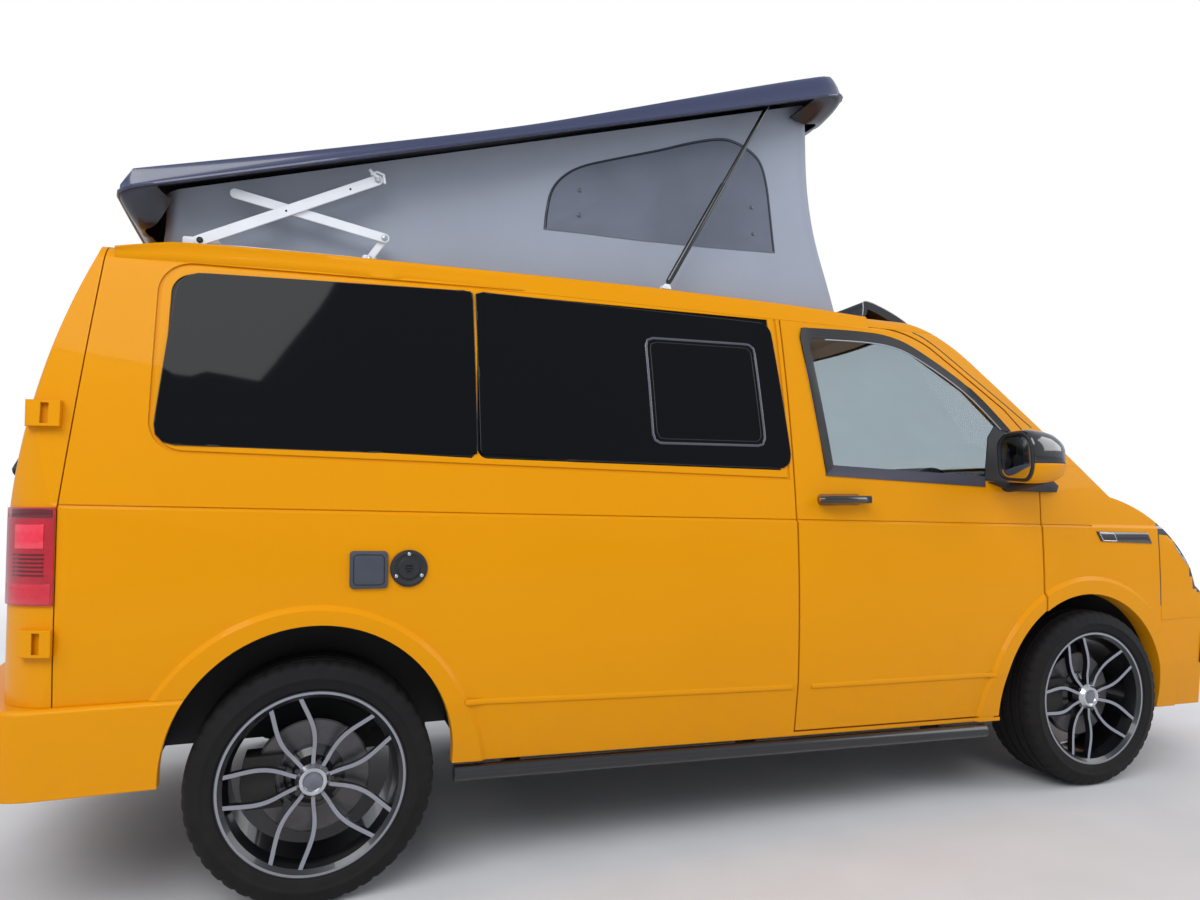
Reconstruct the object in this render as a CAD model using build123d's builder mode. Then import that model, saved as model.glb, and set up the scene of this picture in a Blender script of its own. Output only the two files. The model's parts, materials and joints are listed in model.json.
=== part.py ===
from build123d import *
import os
from math import atan2, cos, degrees, hypot, pi, radians, sin, sqrt, tan

os.makedirs("parts", exist_ok=True)

# A medium camper van with a raised pop-top roof, in millimetres.
# X points forward, Y to the vehicle's left, Z up. The origin is on the ground under the middle
# of the overall length. Stations called "from the rear axle" are measured forward of it.

# Driving dimensions of the vehicle
WHEELBASE = 3000
REAR_OVERHANG = 996
FRONT_OVERHANG = 908
TRACK = 1628
BODY_HALF = 952
MIRROR_HALF = 1148
RAKE = 0.0304
SILL_Z = 372
WAIST_Z = 1136
GUTTER_Z = 1864
ROOF_EDGE_Z = 1921
ROOF_CROWN_Z = 1961
WALL = 56
ROOF_WALL = 40
GAP = 6
SEAM = 3
SEAT_GAP = 0.3
DOOR_MEET = 13
GLASS = 6
GLASS_SINK = 4

LENGTH = REAR_OVERHANG + WHEELBASE + FRONT_OVERHANG
REAR_AXLE = REAR_OVERHANG - LENGTH / 2
FAR = 3 * LENGTH

# Wheels
TYRE_R = 348
TYRE_WIDTH = 250
HUB_R = 62
DISC_R = 165
SPOKE_PAIRS = 5
SPOKE_START = 108.5
REAR_ARCH_R = 404
REAR_ARCH_Z = 400
FRONT_ARCH_R = 434
FRONT_ARCH_Z = 335
FRONT_ARCH_BACK = 35
LINER = 6
LINER_R_GROWTH = 30

# Body panels, stations from the rear axle
SEAM_X = -660
DOOR_LOW_Z = SILL_Z + 14
B_PILLAR_X = 1610
DOOR_FRONT_X = 2746
SLIDE_BACK_X = 560
ROOF_CUT_Z = 1880
TAIL_X = -915
TAIL_BOW_R = 2900
NOSE_X = WHEELBASE + FRONT_OVERHANG
NOSE_BOW_R = 1720
BUMPER_TOP_Z = 618
BUMPER_LOW_Z = 384
BUMPER_EDGE_R = 14
FLOOR_Z = 500
FLARE_OUT = 13
FLARE_WIDTH = 112
FLARE_FOOT_Y = -895
GROOVE_WIDTH = 9
GROOVE_OUT = 26
CREASE_END_X = 3017
FLOOR_T = 50


def ahead(x):
    """X of a station measured forward of the rear axle."""
    return REAR_AXLE + x


def fall(x, z):
    """A side-view point whose height is given at the rear axle and falls forward with the body lines."""
    return (x, z - RAKE * x)


def station(x):
    """Plane across the vehicle at a station, its local axes along Y and Z."""
    return Plane(origin=(ahead(x), 0, 0), x_dir=(0, 1, 0), z_dir=(1, 0, 0))


def side_view(out=0):
    """Plane along the vehicle, out from the centre to the right, its local axes along X and Z."""
    return Plane(origin=(REAR_AXLE, -out, 0), x_dir=(1, 0, 0), z_dir=(0, -1, 0))


def top_view(z):
    """Level plane, its local X measured from the rear axle."""
    return Plane(origin=(REAR_AXLE, 0, z))


def finish(part, label):
    """Label a finished piece and write it."""
    part.label = label
    export_step(part, f"parts/{label}.step")


def block(x0, x1, y0, y1, z0, z1, rounding=0):
    """A box between two corners, stations from the rear axle, with its upright edges rounded."""
    with BuildPart() as piece:
        with Locations((ahead((x0 + x1) / 2), (y0 + y1) / 2, (z0 + z1) / 2)):
            Box(x1 - x0, y1 - y0, z1 - z0)
        if rounding:
            fillet(piece.edges(), rounding)
    return piece.part


def side_prism(points, inner, outer):
    """A side-view outline carried from inner to outer on the right-hand side."""
    with BuildPart() as piece:
        with BuildSketch(side_view(inner)):
            with BuildLine():
                Polyline(*points, close=True)
            make_face()
        extrude(amount=outer - inner)
    return piece.part


def cylinder_y(x, z, radius, inner, outer):
    """A cylinder across the vehicle on the right-hand side."""
    with BuildPart() as piece:
        with BuildSketch(side_view(inner)):
            with Locations((x, z)):
                Circle(radius)
        extrude(amount=outer - inner)
    return piece.part


def other_side(part):
    """The same piece on the other side of the vehicle."""
    with BuildPart() as piece:
        add(part)
        mirror(about=Plane.XZ, mode=Mode.REPLACE)
    return piece.part


# The body's outer form: one cross-section carried along the vehicle, pulled in a little at both ends.
# Columns: station from the rear axle, how far the sides come in, how far the roof comes down.
BODY_STATIONS = [(-1000, 32, 40), (1200, 0, 0), (4000, 52, 0)]


def cross_section(x, come_in, come_down, inset, inset_top, inset_low):
    """Half of the body's section and its mirror, from the sill over the waist to the roof's crown."""
    with BuildSketch(station(x)) as face:
        with BuildLine():
            shift = RAKE * x
            side = BODY_HALF - come_in - inset
            low = SILL_Z + inset_low - shift
            waist = WAIST_Z - shift
            gutter = GUTTER_Z - shift - come_down - inset_top
            edge = ROOF_EDGE_Z - shift - come_down - inset_top
            crown = ROOF_CROWN_Z - shift - come_down - inset_top
            edge_y = side - 177
            crown_rise = (crown - edge) * (1 - 0.25)
            Line((0, low), (side - 47, low))
            Line((side - 47, low), (side - 14, low + 188))
            ThreePointArc((side - 14, low + 188), (side, (low + waist) / 2 + 40), (side - 1, waist - 8))
            Line((side - 1, waist - 8), (side - 8, waist + 4))
            ThreePointArc((side - 8, waist + 4), (side - 45, (waist + gutter) / 2), (side - 106, gutter))
            ThreePointArc((side - 106, gutter), (side - 126, gutter + 36), (edge_y, edge))
            ThreePointArc((edge_y, edge), (edge_y / 2, edge + crown_rise), (0, crown))
            mirror(about=Plane.YZ)
        make_face()
    return face.sketch


def body_form(inset, inset_top, inset_low=0):
    """The closed body, from the outer skin (inset 0) or pulled in by a wall."""
    with BuildPart() as form:
        for x, come_in, come_down in BODY_STATIONS:
            add(cross_section(x, come_in, come_down, inset, inset_top, inset_low))
        loft()
        # Plan outline: bowed tail and nose with rounded corners
        with BuildSketch(top_view(0)):
            tail = TAIL_X + inset
            nose = NOSE_X - inset
            side = BODY_HALF - 26 - inset
            tail_side = tail + TAIL_BOW_R - sqrt(TAIL_BOW_R ** 2 - side ** 2)
            nose_side = nose - NOSE_BOW_R + sqrt(NOSE_BOW_R ** 2 - side ** 2)
            with BuildLine():
                ThreePointArc((tail_side, side), (tail, 0), (tail_side, -side))
                Polyline((tail_side, -side), (1200, -side - 50), (nose_side, -side))
                ThreePointArc((nose_side, -side), (nose, 0), (nose_side, side))
                Polyline((nose_side, side), (1200, side + 50), (tail_side, side))
            outline = make_face()
            fillet(outline.vertices().group_by(Axis.X)[0], 190 - inset)
            fillet(outline.vertices().group_by(Axis.X)[-1], 520 - inset)
        extrude(amount=FAR, mode=Mode.INTERSECT)
        # The tail leans forward above the waist and rounds over into the roof
        with BuildSketch(side_view()):
            with BuildLine():
                tail = TAIL_X + inset
                Polyline((TAIL_X + TAIL_BOW_R, 2400), (TAIL_X + TAIL_BOW_R, 0), (tail, 0), (tail, 1150))
                ThreePointArc((tail, 1150), (tail + 52, 1480), (tail + 190, 1880 - inset_top))
                ThreePointArc((tail + 190, 1880 - inset_top), (tail + 222, 1930 - inset_top),
                              (tail + 300, 1956 - inset_top))
                Line((tail + 300, 1956 - inset_top), (tail + 900, 2400))
                Line((tail + 900, 2400), (TAIL_X + TAIL_BOW_R, 2400))
            make_face()
        revolve(axis=Axis((ahead(TAIL_X + TAIL_BOW_R), 0, 0), (0, 0, 1)), mode=Mode.INTERSECT)
        add(front_tool(inset, inset_top), mode=Mode.INTERSECT)
    return form.part


# Windscreen and bonnet, stations from the rear axle
SCREEN_AXIS_X = 400
SCREEN_FOOT = (3150, 1275)
SCREEN_SLOPE = 0.8495
SCREEN_TOP_R = 800
BONNET_START = (3150, 1290)
BONNET_SLOPE = 0.45
BONNET_CROWN = 80
BONNET_HALF = 850


def front_tool(inset, inset_top):
    """What the front of the body stays inside: the windscreen's cone, and the bonnet and nose."""
    screen_inset = inset / sin(atan2(SCREEN_SLOPE, 1))
    roof_z = ROOF_CROWN_Z - inset_top

    def screen_x(z):
        return SCREEN_FOOT[0] - screen_inset - (z - SCREEN_FOOT[1]) / SCREEN_SLOPE

    meet_x = (SCREEN_FOOT[0] - screen_inset + (SCREEN_FOOT[1] - roof_z) / SCREEN_SLOPE)
    meet_x = meet_x / (1 - RAKE / SCREEN_SLOPE)
    with BuildPart() as tool:
        with BuildSketch(side_view()):
            with BuildLine():
                Polyline((SCREEN_AXIS_X, 0), (screen_x(0), 0), (meet_x, roof_z - RAKE * meet_x),
                         (SCREEN_AXIS_X, roof_z - RAKE * SCREEN_AXIS_X), close=True)
            cone = make_face()
            fillet(cone.vertices().sort_by(Axis.Y).sort_by(Axis.X)[2], SCREEN_TOP_R)
        revolve(axis=Axis((ahead(SCREEN_AXIS_X), 0, 0), (0, 0, 1)))
        add(block(-1300, SCREEN_AXIS_X + 900, -1200, 1200, 0, 2300))
        add(nose_tool(inset))
    return tool.part


def nose_tool(inset):
    """The crowned bonnet carried down its slope, cut by the nose's side view turned about the bow."""
    top = BONNET_START[1] - inset
    back = 700
    with BuildPart() as tool:
        with BuildSketch(station(BONNET_START[0] - back)):
            lift = back * BONNET_SLOPE
            with BuildLine():
                ThreePointArc((-BONNET_HALF, top + lift - BONNET_CROWN), (0, top + lift),
                              (BONNET_HALF, top + lift - BONNET_CROWN))
                Polyline((BONNET_HALF, top + lift - BONNET_CROWN), (1200, top + lift - 2 * BONNET_CROWN),
                         (1200, -1200), (-1200, -1200), (-1200, top + lift - 2 * BONNET_CROWN),
                         (-BONNET_HALF, top + lift - BONNET_CROWN))
            make_face()
        extrude(amount=2600, dir=(1, 0, -BONNET_SLOPE))
        with BuildSketch(side_view()):
            nose = NOSE_X - inset
            axis_x = NOSE_X - NOSE_BOW_R
            with BuildLine():
                Polyline((axis_x, 1900), (axis_x, 0), (nose - 48, 0), (nose - 48, 210))
                ThreePointArc((nose - 48, 210), (nose, 520), (nose - 50, 850))
                ThreePointArc((nose - 50, 850), (nose - 190, 1035), (nose - 480, 1180))
                Line((nose - 480, 1180), (axis_x, 1900))
            make_face()
        revolve(axis=Axis((ahead(axis_x), 0, 0), (0, 0, 1)), mode=Mode.INTERSECT)
    return tool.part


def arch_flare(x, z, radius):
    """The cone that a soft flare round a wheel arch on the right stays inside, proudest at the arch's lip."""
    with BuildPart() as ring:
        with BuildSketch(Plane(origin=(ahead(x), 0, z), x_dir=(1, 0, 0), z_dir=(0, 0, 1))):
            with BuildLine():
                Polyline((radius + FLARE_WIDTH, FLARE_FOOT_Y), (radius + FLARE_WIDTH, -500), (radius - 15, -500),
                         (radius - 15, -BODY_HALF - 30), (radius + 12, -BODY_HALF - 30))
                ThreePointArc((radius + 12, -BODY_HALF - 30), (radius + FLARE_WIDTH / 2, -BODY_HALF + 6),
                              (radius + FLARE_WIDTH, FLARE_FOOT_Y))
            make_face()
        revolve(axis=Axis((ahead(x), 0, z), (0, 1, 0)))
    return ring.part


plain_form = body_form(0, 0)
inner_form = body_form(WALL, ROOF_WALL, -150)
sunk_form = body_form(GLASS_SINK, GLASS_SINK)
flare_skin = body_form(-FLARE_OUT, 0)
with BuildPart() as rear_flare:
    add(flare_skin)
    add(arch_flare(0, REAR_ARCH_Z, REAR_ARCH_R), mode=Mode.INTERSECT)
with BuildPart() as front_flare:
    add(flare_skin)
    add(arch_flare(WHEELBASE - FRONT_ARCH_BACK, FRONT_ARCH_Z, FRONT_ARCH_R), mode=Mode.INTERSECT)
with BuildPart() as flared_form:
    add(plain_form)
    for flare in (rear_flare.part, front_flare.part):
        add(flare)
        add(other_side(flare))
outer_form = flared_form.part
with BuildPart() as body_shell:
    add(outer_form)
    add(inner_form, mode=Mode.SUBTRACT)
with BuildPart() as skin_layer:
    add(outer_form)
    add(sunk_form, mode=Mode.SUBTRACT)
with BuildPart() as glass_shell:
    add(sunk_form)
    add(body_form(GLASS_SINK + GLASS, GLASS_SINK + GLASS), mode=Mode.SUBTRACT)

# Cuts between the panels
ROOF_CUT = [fall(-1500, ROOF_CUT_Z), fall(4500, ROOF_CUT_Z)]
BONNET_LINE = [(2940, 1306), (3462, 1050), (3700, 935), (4000, 860)]
SCREEN_SPLIT_R = SCREEN_FOOT[0] - SCREEN_AXIS_X + 25
WING_TOP_Z = 1285
LAMP_INNER_Y = 440
GRILLE_SLOTS = (812, 858, 904)
GRILLE_SLOT = 26
INTAKE_SLOTS = (352, 396, 440)
INTAKE_SLOT = 30
INTAKE_HALF = 430
FOG_Y = 672
FOG_Z = 425
FOG_R = 48
BUMPER_LINE = [(3300, 560), (3380, 600), (3600, 745), (4000, 765)]
REAR_OPENING_Y = 790
REAR_OPENING_Z = (640, 1850)
WALL_INNER_Y = 620
OUTSIDE_Y = 1300


def above(line):
    """Everything above a side-view line, right across the vehicle."""
    points = [(line[0][0], 3500)] + list(line) + [(line[-1][0], 3500)]
    return side_prism(points, -OUTSIDE_Y, OUTSIDE_Y)


def below(line):
    """Everything below a side-view line, right across the vehicle."""
    points = [(line[0][0], -500)] + list(line) + [(line[-1][0], -500)]
    return side_prism(points, -OUTSIDE_Y, OUTSIDE_Y)


def front_outline(points, x0, x1):
    """An outline seen from the front, carried along the vehicle between two stations."""
    with BuildPart() as piece:
        with BuildSketch(station(x0)):
            with BuildLine():
                Polyline(*points, close=True)
            make_face()
        extrude(amount=x1 - x0)
    return piece.part


def cab_door_opening(pull):
    """The right cab door's outline: upright back edge, slanted pillar edge and the wheel arch's lip."""
    with BuildPart() as piece:
        with BuildSketch(side_view(WALL_INNER_Y)):
            with BuildLine():
                Polyline((2290, 1752), (2620, 1515), (2796, 1340), (DOOR_FRONT_X + 14, 1215),
                         (DOOR_FRONT_X, 1040), fall(DOOR_FRONT_X, DOOR_LOW_Z),
                         fall(B_PILLAR_X, DOOR_LOW_Z), fall(B_PILLAR_X, ROOF_CUT_Z - 3),
                         fall(1960, ROOF_CUT_Z - 3))
                ThreePointArc(fall(1960, ROOF_CUT_Z - 3), (2140, 1812), (2290, 1752))
            make_face()
            with Locations((WHEELBASE - FRONT_ARCH_BACK, FRONT_ARCH_Z)):
                Circle(FRONT_ARCH_R, mode=Mode.SUBTRACT)
            if pull:
                offset(amount=-pull, kind=Kind.INTERSECTION)
        extrude(amount=OUTSIDE_Y - WALL_INNER_Y)
    return piece.part


def cab_window():
    """The right cab door's window outline."""
    with BuildPart() as piece:
        with BuildSketch(side_view(WALL_INNER_Y)):
            with BuildLine():
                Polyline((2241, 1728), (2463, 1588), (2700, 1365), (2722, 1222), (1747, 1250),
                         (1686, 1793), (1960, 1796))
                ThreePointArc((1960, 1796), (2110, 1780), (2241, 1728))
            pane = make_face()
            fillet(pane.vertices().sort_by(Axis.X)[0], 40)
        extrude(amount=OUTSIDE_Y - WALL_INNER_Y)
    return piece.part


# Side windows. Columns: back station, front station, bottom height and top height at each end
# (heights at the rear axle, falling with the body lines), corner radius.
SIDE_WINDOWS = {
    "back": (-418, 459, 1322, 1308, 1817, 1852, 60),
    "middle": (474, 1560, 1308, 1310, 1852, 1864, 35),
    "slide": (606, 1560, 1308, 1310, 1852, 1864, 35),
}


def side_window(name, pull=0):
    """One side window's outline on the right."""
    back, front, low_back, low_front, top_back, top_front, corner = SIDE_WINDOWS[name]
    with BuildPart() as piece:
        with BuildSketch(side_view(WALL_INNER_Y)):
            with BuildLine():
                Polyline(fall(back, low_back), fall(front, low_front), fall(front, top_front),
                         fall(back + 12, top_back), close=True)
            pane = make_face()
            fillet(pane.vertices().sort_by(Axis.X)[:2], corner)
            if pull:
                offset(amount=-pull)
        extrude(amount=OUTSIDE_Y - WALL_INNER_Y)
    return piece.part


def surround(grow):
    """The outline round both side windows on the right, grown by a margin."""
    back, _, low_back, _, top_back, _, corner = SIDE_WINDOWS["back"]
    _, front, _, low_front, _, top_front, _ = SIDE_WINDOWS["middle"]
    with BuildPart() as piece:
        with BuildSketch(side_view(WALL_INNER_Y)):
            with BuildLine():
                Polyline(fall(back - grow, low_back - grow), fall(front + grow, low_front - grow),
                         fall(front + grow, top_front + grow), fall(back - grow + 12, top_back + grow), close=True)
            pane = make_face()
            fillet(pane.vertices().sort_by(Axis.X)[:2], corner + grow)
            fillet(pane.vertices().sort_by(Axis.X)[-2:], corner)
        extrude(amount=OUTSIDE_Y - WALL_INNER_Y)
    return piece.part


def side_region(x0, x1, z0_low, z0_high):
    """A stretch of the right-hand wall between two stations and two falling lines."""
    return side_prism([fall(x0, z0_low), fall(x1, z0_low), fall(x1, z0_high), fall(x0, z0_high)],
                      WALL_INNER_Y, OUTSIDE_Y)


# The seam between the side panels and the rear frame leans forward above the waist
REAR_SEAM = [(SEAM_X, 0), (SEAM_X, 1150), (SEAM_X + 82, 1912), (SEAM_X + 92, 2300)]


def behind_seam(gap):
    """Everything behind the rear seam, up to a gap short of it."""
    points = [(x - gap, z) for x, z in REAR_SEAM] + [(-1300, 2300), (-1300, 0)]
    return side_prism(points, -OUTSIDE_Y, OUTSIDE_Y)


rear_arch = cylinder_y(0, REAR_ARCH_Z, REAR_ARCH_R, WALL_INNER_Y - 200, OUTSIDE_Y)
front_arch = cylinder_y(WHEELBASE - FRONT_ARCH_BACK, FRONT_ARCH_Z, FRONT_ARCH_R, WALL_INNER_Y - 200,
                        OUTSIDE_Y)
seam_cut = behind_seam(0)
bumper_zone = block(-1200, -200, -1300, 1300, 0, BUMPER_TOP_Z)
screen_opening = front_outline([(-775, 1296), (775, 1296), (690, 1846), (-690, 1846)], 2000, 3600)

with BuildPart() as window_groove:
    add(skin_layer.part)
    add(surround(GROOVE_OUT + GROOVE_WIDTH), mode=Mode.INTERSECT)
    add(surround(GROOVE_OUT), mode=Mode.SUBTRACT)

with BuildPart() as crease:
    add(skin_layer.part)
    add(side_region(SEAM_X - 40, CREASE_END_X, WAIST_Z - 5, WAIST_Z + 2), mode=Mode.INTERSECT)

# Side panels: the right one runs to the cab door, the left one to the sliding door
with BuildPart() as sill_lip:
    add(body_shell.part)
    add(side_region(B_PILLAR_X, DOOR_FRONT_X, 0, DOOR_LOW_Z), mode=Mode.INTERSECT)
    add(front_arch, mode=Mode.SUBTRACT)
with BuildPart() as door_rest:
    add(body_shell.part)
    add(side_region(2430, 2500, DOOR_LOW_Z, DOOR_LOW_Z + GAP - SEAT_GAP), mode=Mode.INTERSECT)
with BuildPart() as side_panel_right:
    add(body_shell.part)
    add(side_region(-1100, B_PILLAR_X, 0, ROOF_CUT_Z), mode=Mode.INTERSECT)
    for cut in (seam_cut, rear_arch, bumper_zone, side_window("back"), side_window("middle"),
                window_groove.part, crease.part):
        add(cut, mode=Mode.SUBTRACT)
    add(sill_lip.part)
    add(door_rest.part)
finish(side_panel_right.part, "side_panel_right")

with BuildPart() as left_side_blank:
    add(body_shell.part)
    add(side_region(-1100, B_PILLAR_X, 0, ROOF_CUT_Z), mode=Mode.INTERSECT)
    for cut in (seam_cut, rear_arch, bumper_zone, side_window("back"), side_window("slide"),
                window_groove.part, crease.part):
        add(cut, mode=Mode.SUBTRACT)
with BuildPart() as side_panel_left:
    add(left_side_blank.part)
    add(side_region(SLIDE_BACK_X, 2000, DOOR_LOW_Z, 2500), mode=Mode.SUBTRACT)
    add(sill_lip.part)
    add(door_rest.part)
finish(other_side(side_panel_left.part), "side_panel_left")
with BuildPart() as sliding_door:
    add(left_side_blank.part)
    add(side_region(SLIDE_BACK_X + SEAM, 2000, DOOR_LOW_Z, 2500), mode=Mode.INTERSECT)
finish(other_side(sliding_door.part), "sliding_door")

# Glass: flush panes a few millimetres below the skin
panes = []
for name, left in (("back", False), ("middle", False), ("back", True), ("slide", True)):
    with BuildPart() as pane:
        add(glass_shell.part)
        add(side_window(name), mode=Mode.INTERSECT)
    panes.append(other_side(pane.part) if left else pane.part)
finish(Compound(children=panes), "side_glass")
with BuildPart() as windscreen:
    add(glass_shell.part)
    add(screen_opening, mode=Mode.INTERSECT)
finish(windscreen.part, "windscreen")

# Rear end: fixed frame round the doorway
rear_opening = front_outline(
    [(-REAR_OPENING_Y, REAR_OPENING_Z[0]), (REAR_OPENING_Y, REAR_OPENING_Z[0]),
     (REAR_OPENING_Y - 40, REAR_OPENING_Z[1]), (-REAR_OPENING_Y + 40, REAR_OPENING_Z[1])], -1200, -560)
rear_feet = []
with BuildPart() as rear_frame:
    add(body_shell.part)
    add(behind_seam(SEAM), mode=Mode.INTERSECT)
    add(block(-1200, 0, -1300, 1300, BUMPER_TOP_Z, 2300), mode=Mode.INTERSECT)
    add(rear_opening, mode=Mode.SUBTRACT)
for side in (-1, 1):
    with BuildPart() as door_foot:
        add(body_shell.part)
        add(block(-1200, -700, *sorted((side * 640, side * 720)), REAR_OPENING_Z[0] - 4,
                  REAR_OPENING_Z[0] + GAP - SEAT_GAP), mode=Mode.INTERSECT)
    rear_feet.append(door_foot.part)
with BuildPart() as rear_frame_with_feet:
    add(rear_frame.part)
    for foot in rear_feet:
        add(foot)
finish(rear_frame_with_feet.part, "rear_frame")

# Rear doors, right then mirrored
REAR_GLASS_Y = (95, 665)
REAR_GLASS_Z = (1270, 1745)
rear_glass_cut = front_outline(
    [(-REAR_GLASS_Y[0], REAR_GLASS_Z[0]), (-REAR_GLASS_Y[1] - 25, REAR_GLASS_Z[0]),
     (-REAR_GLASS_Y[1], REAR_GLASS_Z[1]), (-REAR_GLASS_Y[0], REAR_GLASS_Z[1])], -1200, -560)
with BuildPart() as rear_door:
    add(body_shell.part)
    add(front_outline(
        [(-DOOR_MEET / 2, REAR_OPENING_Z[0] + GAP), (-REAR_OPENING_Y + GAP, REAR_OPENING_Z[0] + GAP),
         (-REAR_OPENING_Y + 40 + GAP, REAR_OPENING_Z[1] - GAP), (-DOOR_MEET / 2, REAR_OPENING_Z[1] - GAP)],
        -1200, SEAM_X - GAP), mode=Mode.INTERSECT)
    add(rear_glass_cut, mode=Mode.SUBTRACT)
finish(rear_door.part, "rear_door_right")
finish(other_side(rear_door.part), "rear_door_left")
with BuildPart() as rear_door_glass:
    add(glass_shell.part)
    add(rear_glass_cut, mode=Mode.INTERSECT)
finish(rear_door_glass.part, "rear_door_glass_right")
finish(other_side(rear_door_glass.part), "rear_door_glass_left")

# Roof panel with the pop-top's aperture
APERTURE_X = (-330, 1830)
APERTURE_Y = 600
roof_form_cut = above(ROOF_CUT)
with BuildPart() as roof_panel:
    add(body_shell.part)
    add(roof_form_cut, mode=Mode.INTERSECT)
    add(seam_cut, mode=Mode.SUBTRACT)
    add(screen_opening, mode=Mode.SUBTRACT)
    add(block(*APERTURE_X, -APERTURE_Y, APERTURE_Y, 1500, 2300), mode=Mode.SUBTRACT)
finish(roof_panel.part, "roof_panel")

# Front: windscreen frame, wings, bonnet, lamps, grille and bumper
wing_side = side_prism([(DOOR_FRONT_X, 0), (DOOR_FRONT_X, WING_TOP_Z), (2983, WING_TOP_Z)] + BONNET_LINE[1:]
                       + [(4000, 0)], LAMP_INNER_Y, OUTSIDE_Y)
with BuildPart() as split_drum:
    with BuildSketch(top_view(0)):
        with Locations((SCREEN_AXIS_X, 0)):
            Circle(SCREEN_SPLIT_R)
    extrude(amount=2300)
with BuildPart() as screen_frame:
    add(body_shell.part)
    add(block(1900, 4000, -1300, 1300, WING_TOP_Z - 90, 2300), mode=Mode.INTERSECT)
    add(roof_form_cut, mode=Mode.SUBTRACT)
    add(split_drum.part, mode=Mode.INTERSECT)
    add(screen_opening, mode=Mode.SUBTRACT)
    for cut in (cab_door_opening(0), wing_side):
        add(cut, mode=Mode.SUBTRACT)
        add(other_side(cut), mode=Mode.SUBTRACT)
finish(screen_frame.part, "windscreen_frame")
with BuildPart() as bonnet:
    add(body_shell.part)
    add(above([(x, z + GAP) for x, z in BONNET_LINE]), mode=Mode.INTERSECT)
    with BuildSketch(top_view(0)):
        with Locations((SCREEN_AXIS_X, 0)):
            Circle(SCREEN_SPLIT_R + GAP)
    extrude(amount=2300, mode=Mode.SUBTRACT)
finish(bonnet.part, "bonnet")

nose_band = below(BONNET_LINE)
bumper_band = below(BUMPER_LINE)
lamp_outline = front_outline([(-LAMP_INNER_Y, 700), (-1000, 700), (-1000, 1100), (-LAMP_INNER_Y, 1100)],
                             3395, 4200)
with BuildPart() as wing:
    add(body_shell.part)
    add(wing_side, mode=Mode.INTERSECT)
    add(block(DOOR_FRONT_X + GAP / 2, 4000, -1300, 0, 0, 2000), mode=Mode.INTERSECT)
    for cut in (front_arch, bumper_band, lamp_outline, cab_door_opening(0), crease.part):
        add(cut, mode=Mode.SUBTRACT)
finish(Compound(children=[wing.part, other_side(wing.part)]), "front_wings")
with BuildPart() as headlamp:
    add(body_shell.part)
    add(lamp_outline, mode=Mode.INTERSECT)
    add(nose_band, mode=Mode.INTERSECT)
    add(bumper_band, mode=Mode.SUBTRACT)
finish(Compound(children=[headlamp.part, other_side(headlamp.part)]), "headlamps")
with BuildPart() as grille_face:
    add(body_shell.part)
    add(front_outline([(-LAMP_INNER_Y, 700), (LAMP_INNER_Y, 700), (LAMP_INNER_Y, 1100),
                       (-LAMP_INNER_Y, 1100)], 3395, 4200), mode=Mode.INTERSECT)
    add(nose_band, mode=Mode.INTERSECT)
    add(bumper_band, mode=Mode.SUBTRACT)
with BuildPart() as grille:
    add(body_shell.part)
    add(block(3395, 4200, -LAMP_INNER_Y, LAMP_INNER_Y, 900, 1100), mode=Mode.INTERSECT)
    add(below([(x, z + GAP - SEAT_GAP) for x, z in BONNET_LINE]), mode=Mode.INTERSECT)
    for y0, y1 in ((-600, -400), (-320, 320), (400, 600)):
        add(block(3000, 4200, y0, y1, 900, 1100), mode=Mode.SUBTRACT)
    add(grille_face.part)
    for z in GRILLE_SLOTS:
        add(block(3700, 4200, -LAMP_INNER_Y + 30, LAMP_INNER_Y - 30, z, z + GRILLE_SLOT), mode=Mode.SUBTRACT)
finish(grille.part, "grille")
with BuildPart() as front_bumper:
    add(body_shell.part)
    add(bumper_band, mode=Mode.INTERSECT)
    add(front_arch, mode=Mode.SUBTRACT)
    add(other_side(front_arch), mode=Mode.SUBTRACT)
    for z in INTAKE_SLOTS:
        add(block(3700, 4200, -INTAKE_HALF, INTAKE_HALF, z, z + INTAKE_SLOT), mode=Mode.SUBTRACT)
    for side in (-1, 1):
        with BuildSketch(station(3500)):
            with Locations((side * FOG_Y, FOG_Z)):
                Circle(FOG_R)
        extrude(amount=600, mode=Mode.SUBTRACT)
finish(front_bumper.part, "front_bumper")

# Cab doors: panel with its window cut, glass, mirror and handle, right then mirrored
with BuildPart() as door:
    add(body_shell.part)
    add(cab_door_opening(GAP), mode=Mode.INTERSECT)
    add(cab_window(), mode=Mode.SUBTRACT)
    add(crease.part, mode=Mode.SUBTRACT)
with BuildPart() as door_glass:
    add(glass_shell.part)
    add(cab_window(), mode=Mode.INTERSECT)
MIRROR_X = (2505, 2630)
MIRROR_Z = (1205, 1402)
with BuildPart() as mirror_housing:
    add(block(*MIRROR_X, -MIRROR_HALF, -MIRROR_HALF + 185, *MIRROR_Z, 45))
    add(block(MIRROR_X[0] + 35, MIRROR_X[1] + 40, -MIRROR_HALF + 120, -870, MIRROR_Z[0] - 25, MIRROR_Z[0] + 20,
              8))
    add(outer_form, mode=Mode.SUBTRACT)
HANDLE_X = (1718, 1905)
HANDLE_Z = 1157
with BuildPart() as door_handle:
    add(block(*HANDLE_X, -BODY_HALF - 32, -BODY_HALF - 14, HANDLE_Z - 14, HANDLE_Z + 14, 6))
    for x in (HANDLE_X[0], HANDLE_X[1] - 32):
        add(block(x, x + 32, -BODY_HALF - 26, -BODY_HALF + 40, HANDLE_Z - 13, HANDLE_Z + 13))
    add(outer_form, mode=Mode.SUBTRACT)
for part, name in ((door, "cab_door"), (door_glass, "cab_door_glass"), (mirror_housing, "mirror"),
                   (door_handle, "door_handle")):
    finish(part.part, name + "_right")
    finish(other_side(part.part), name + "_left")

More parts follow.
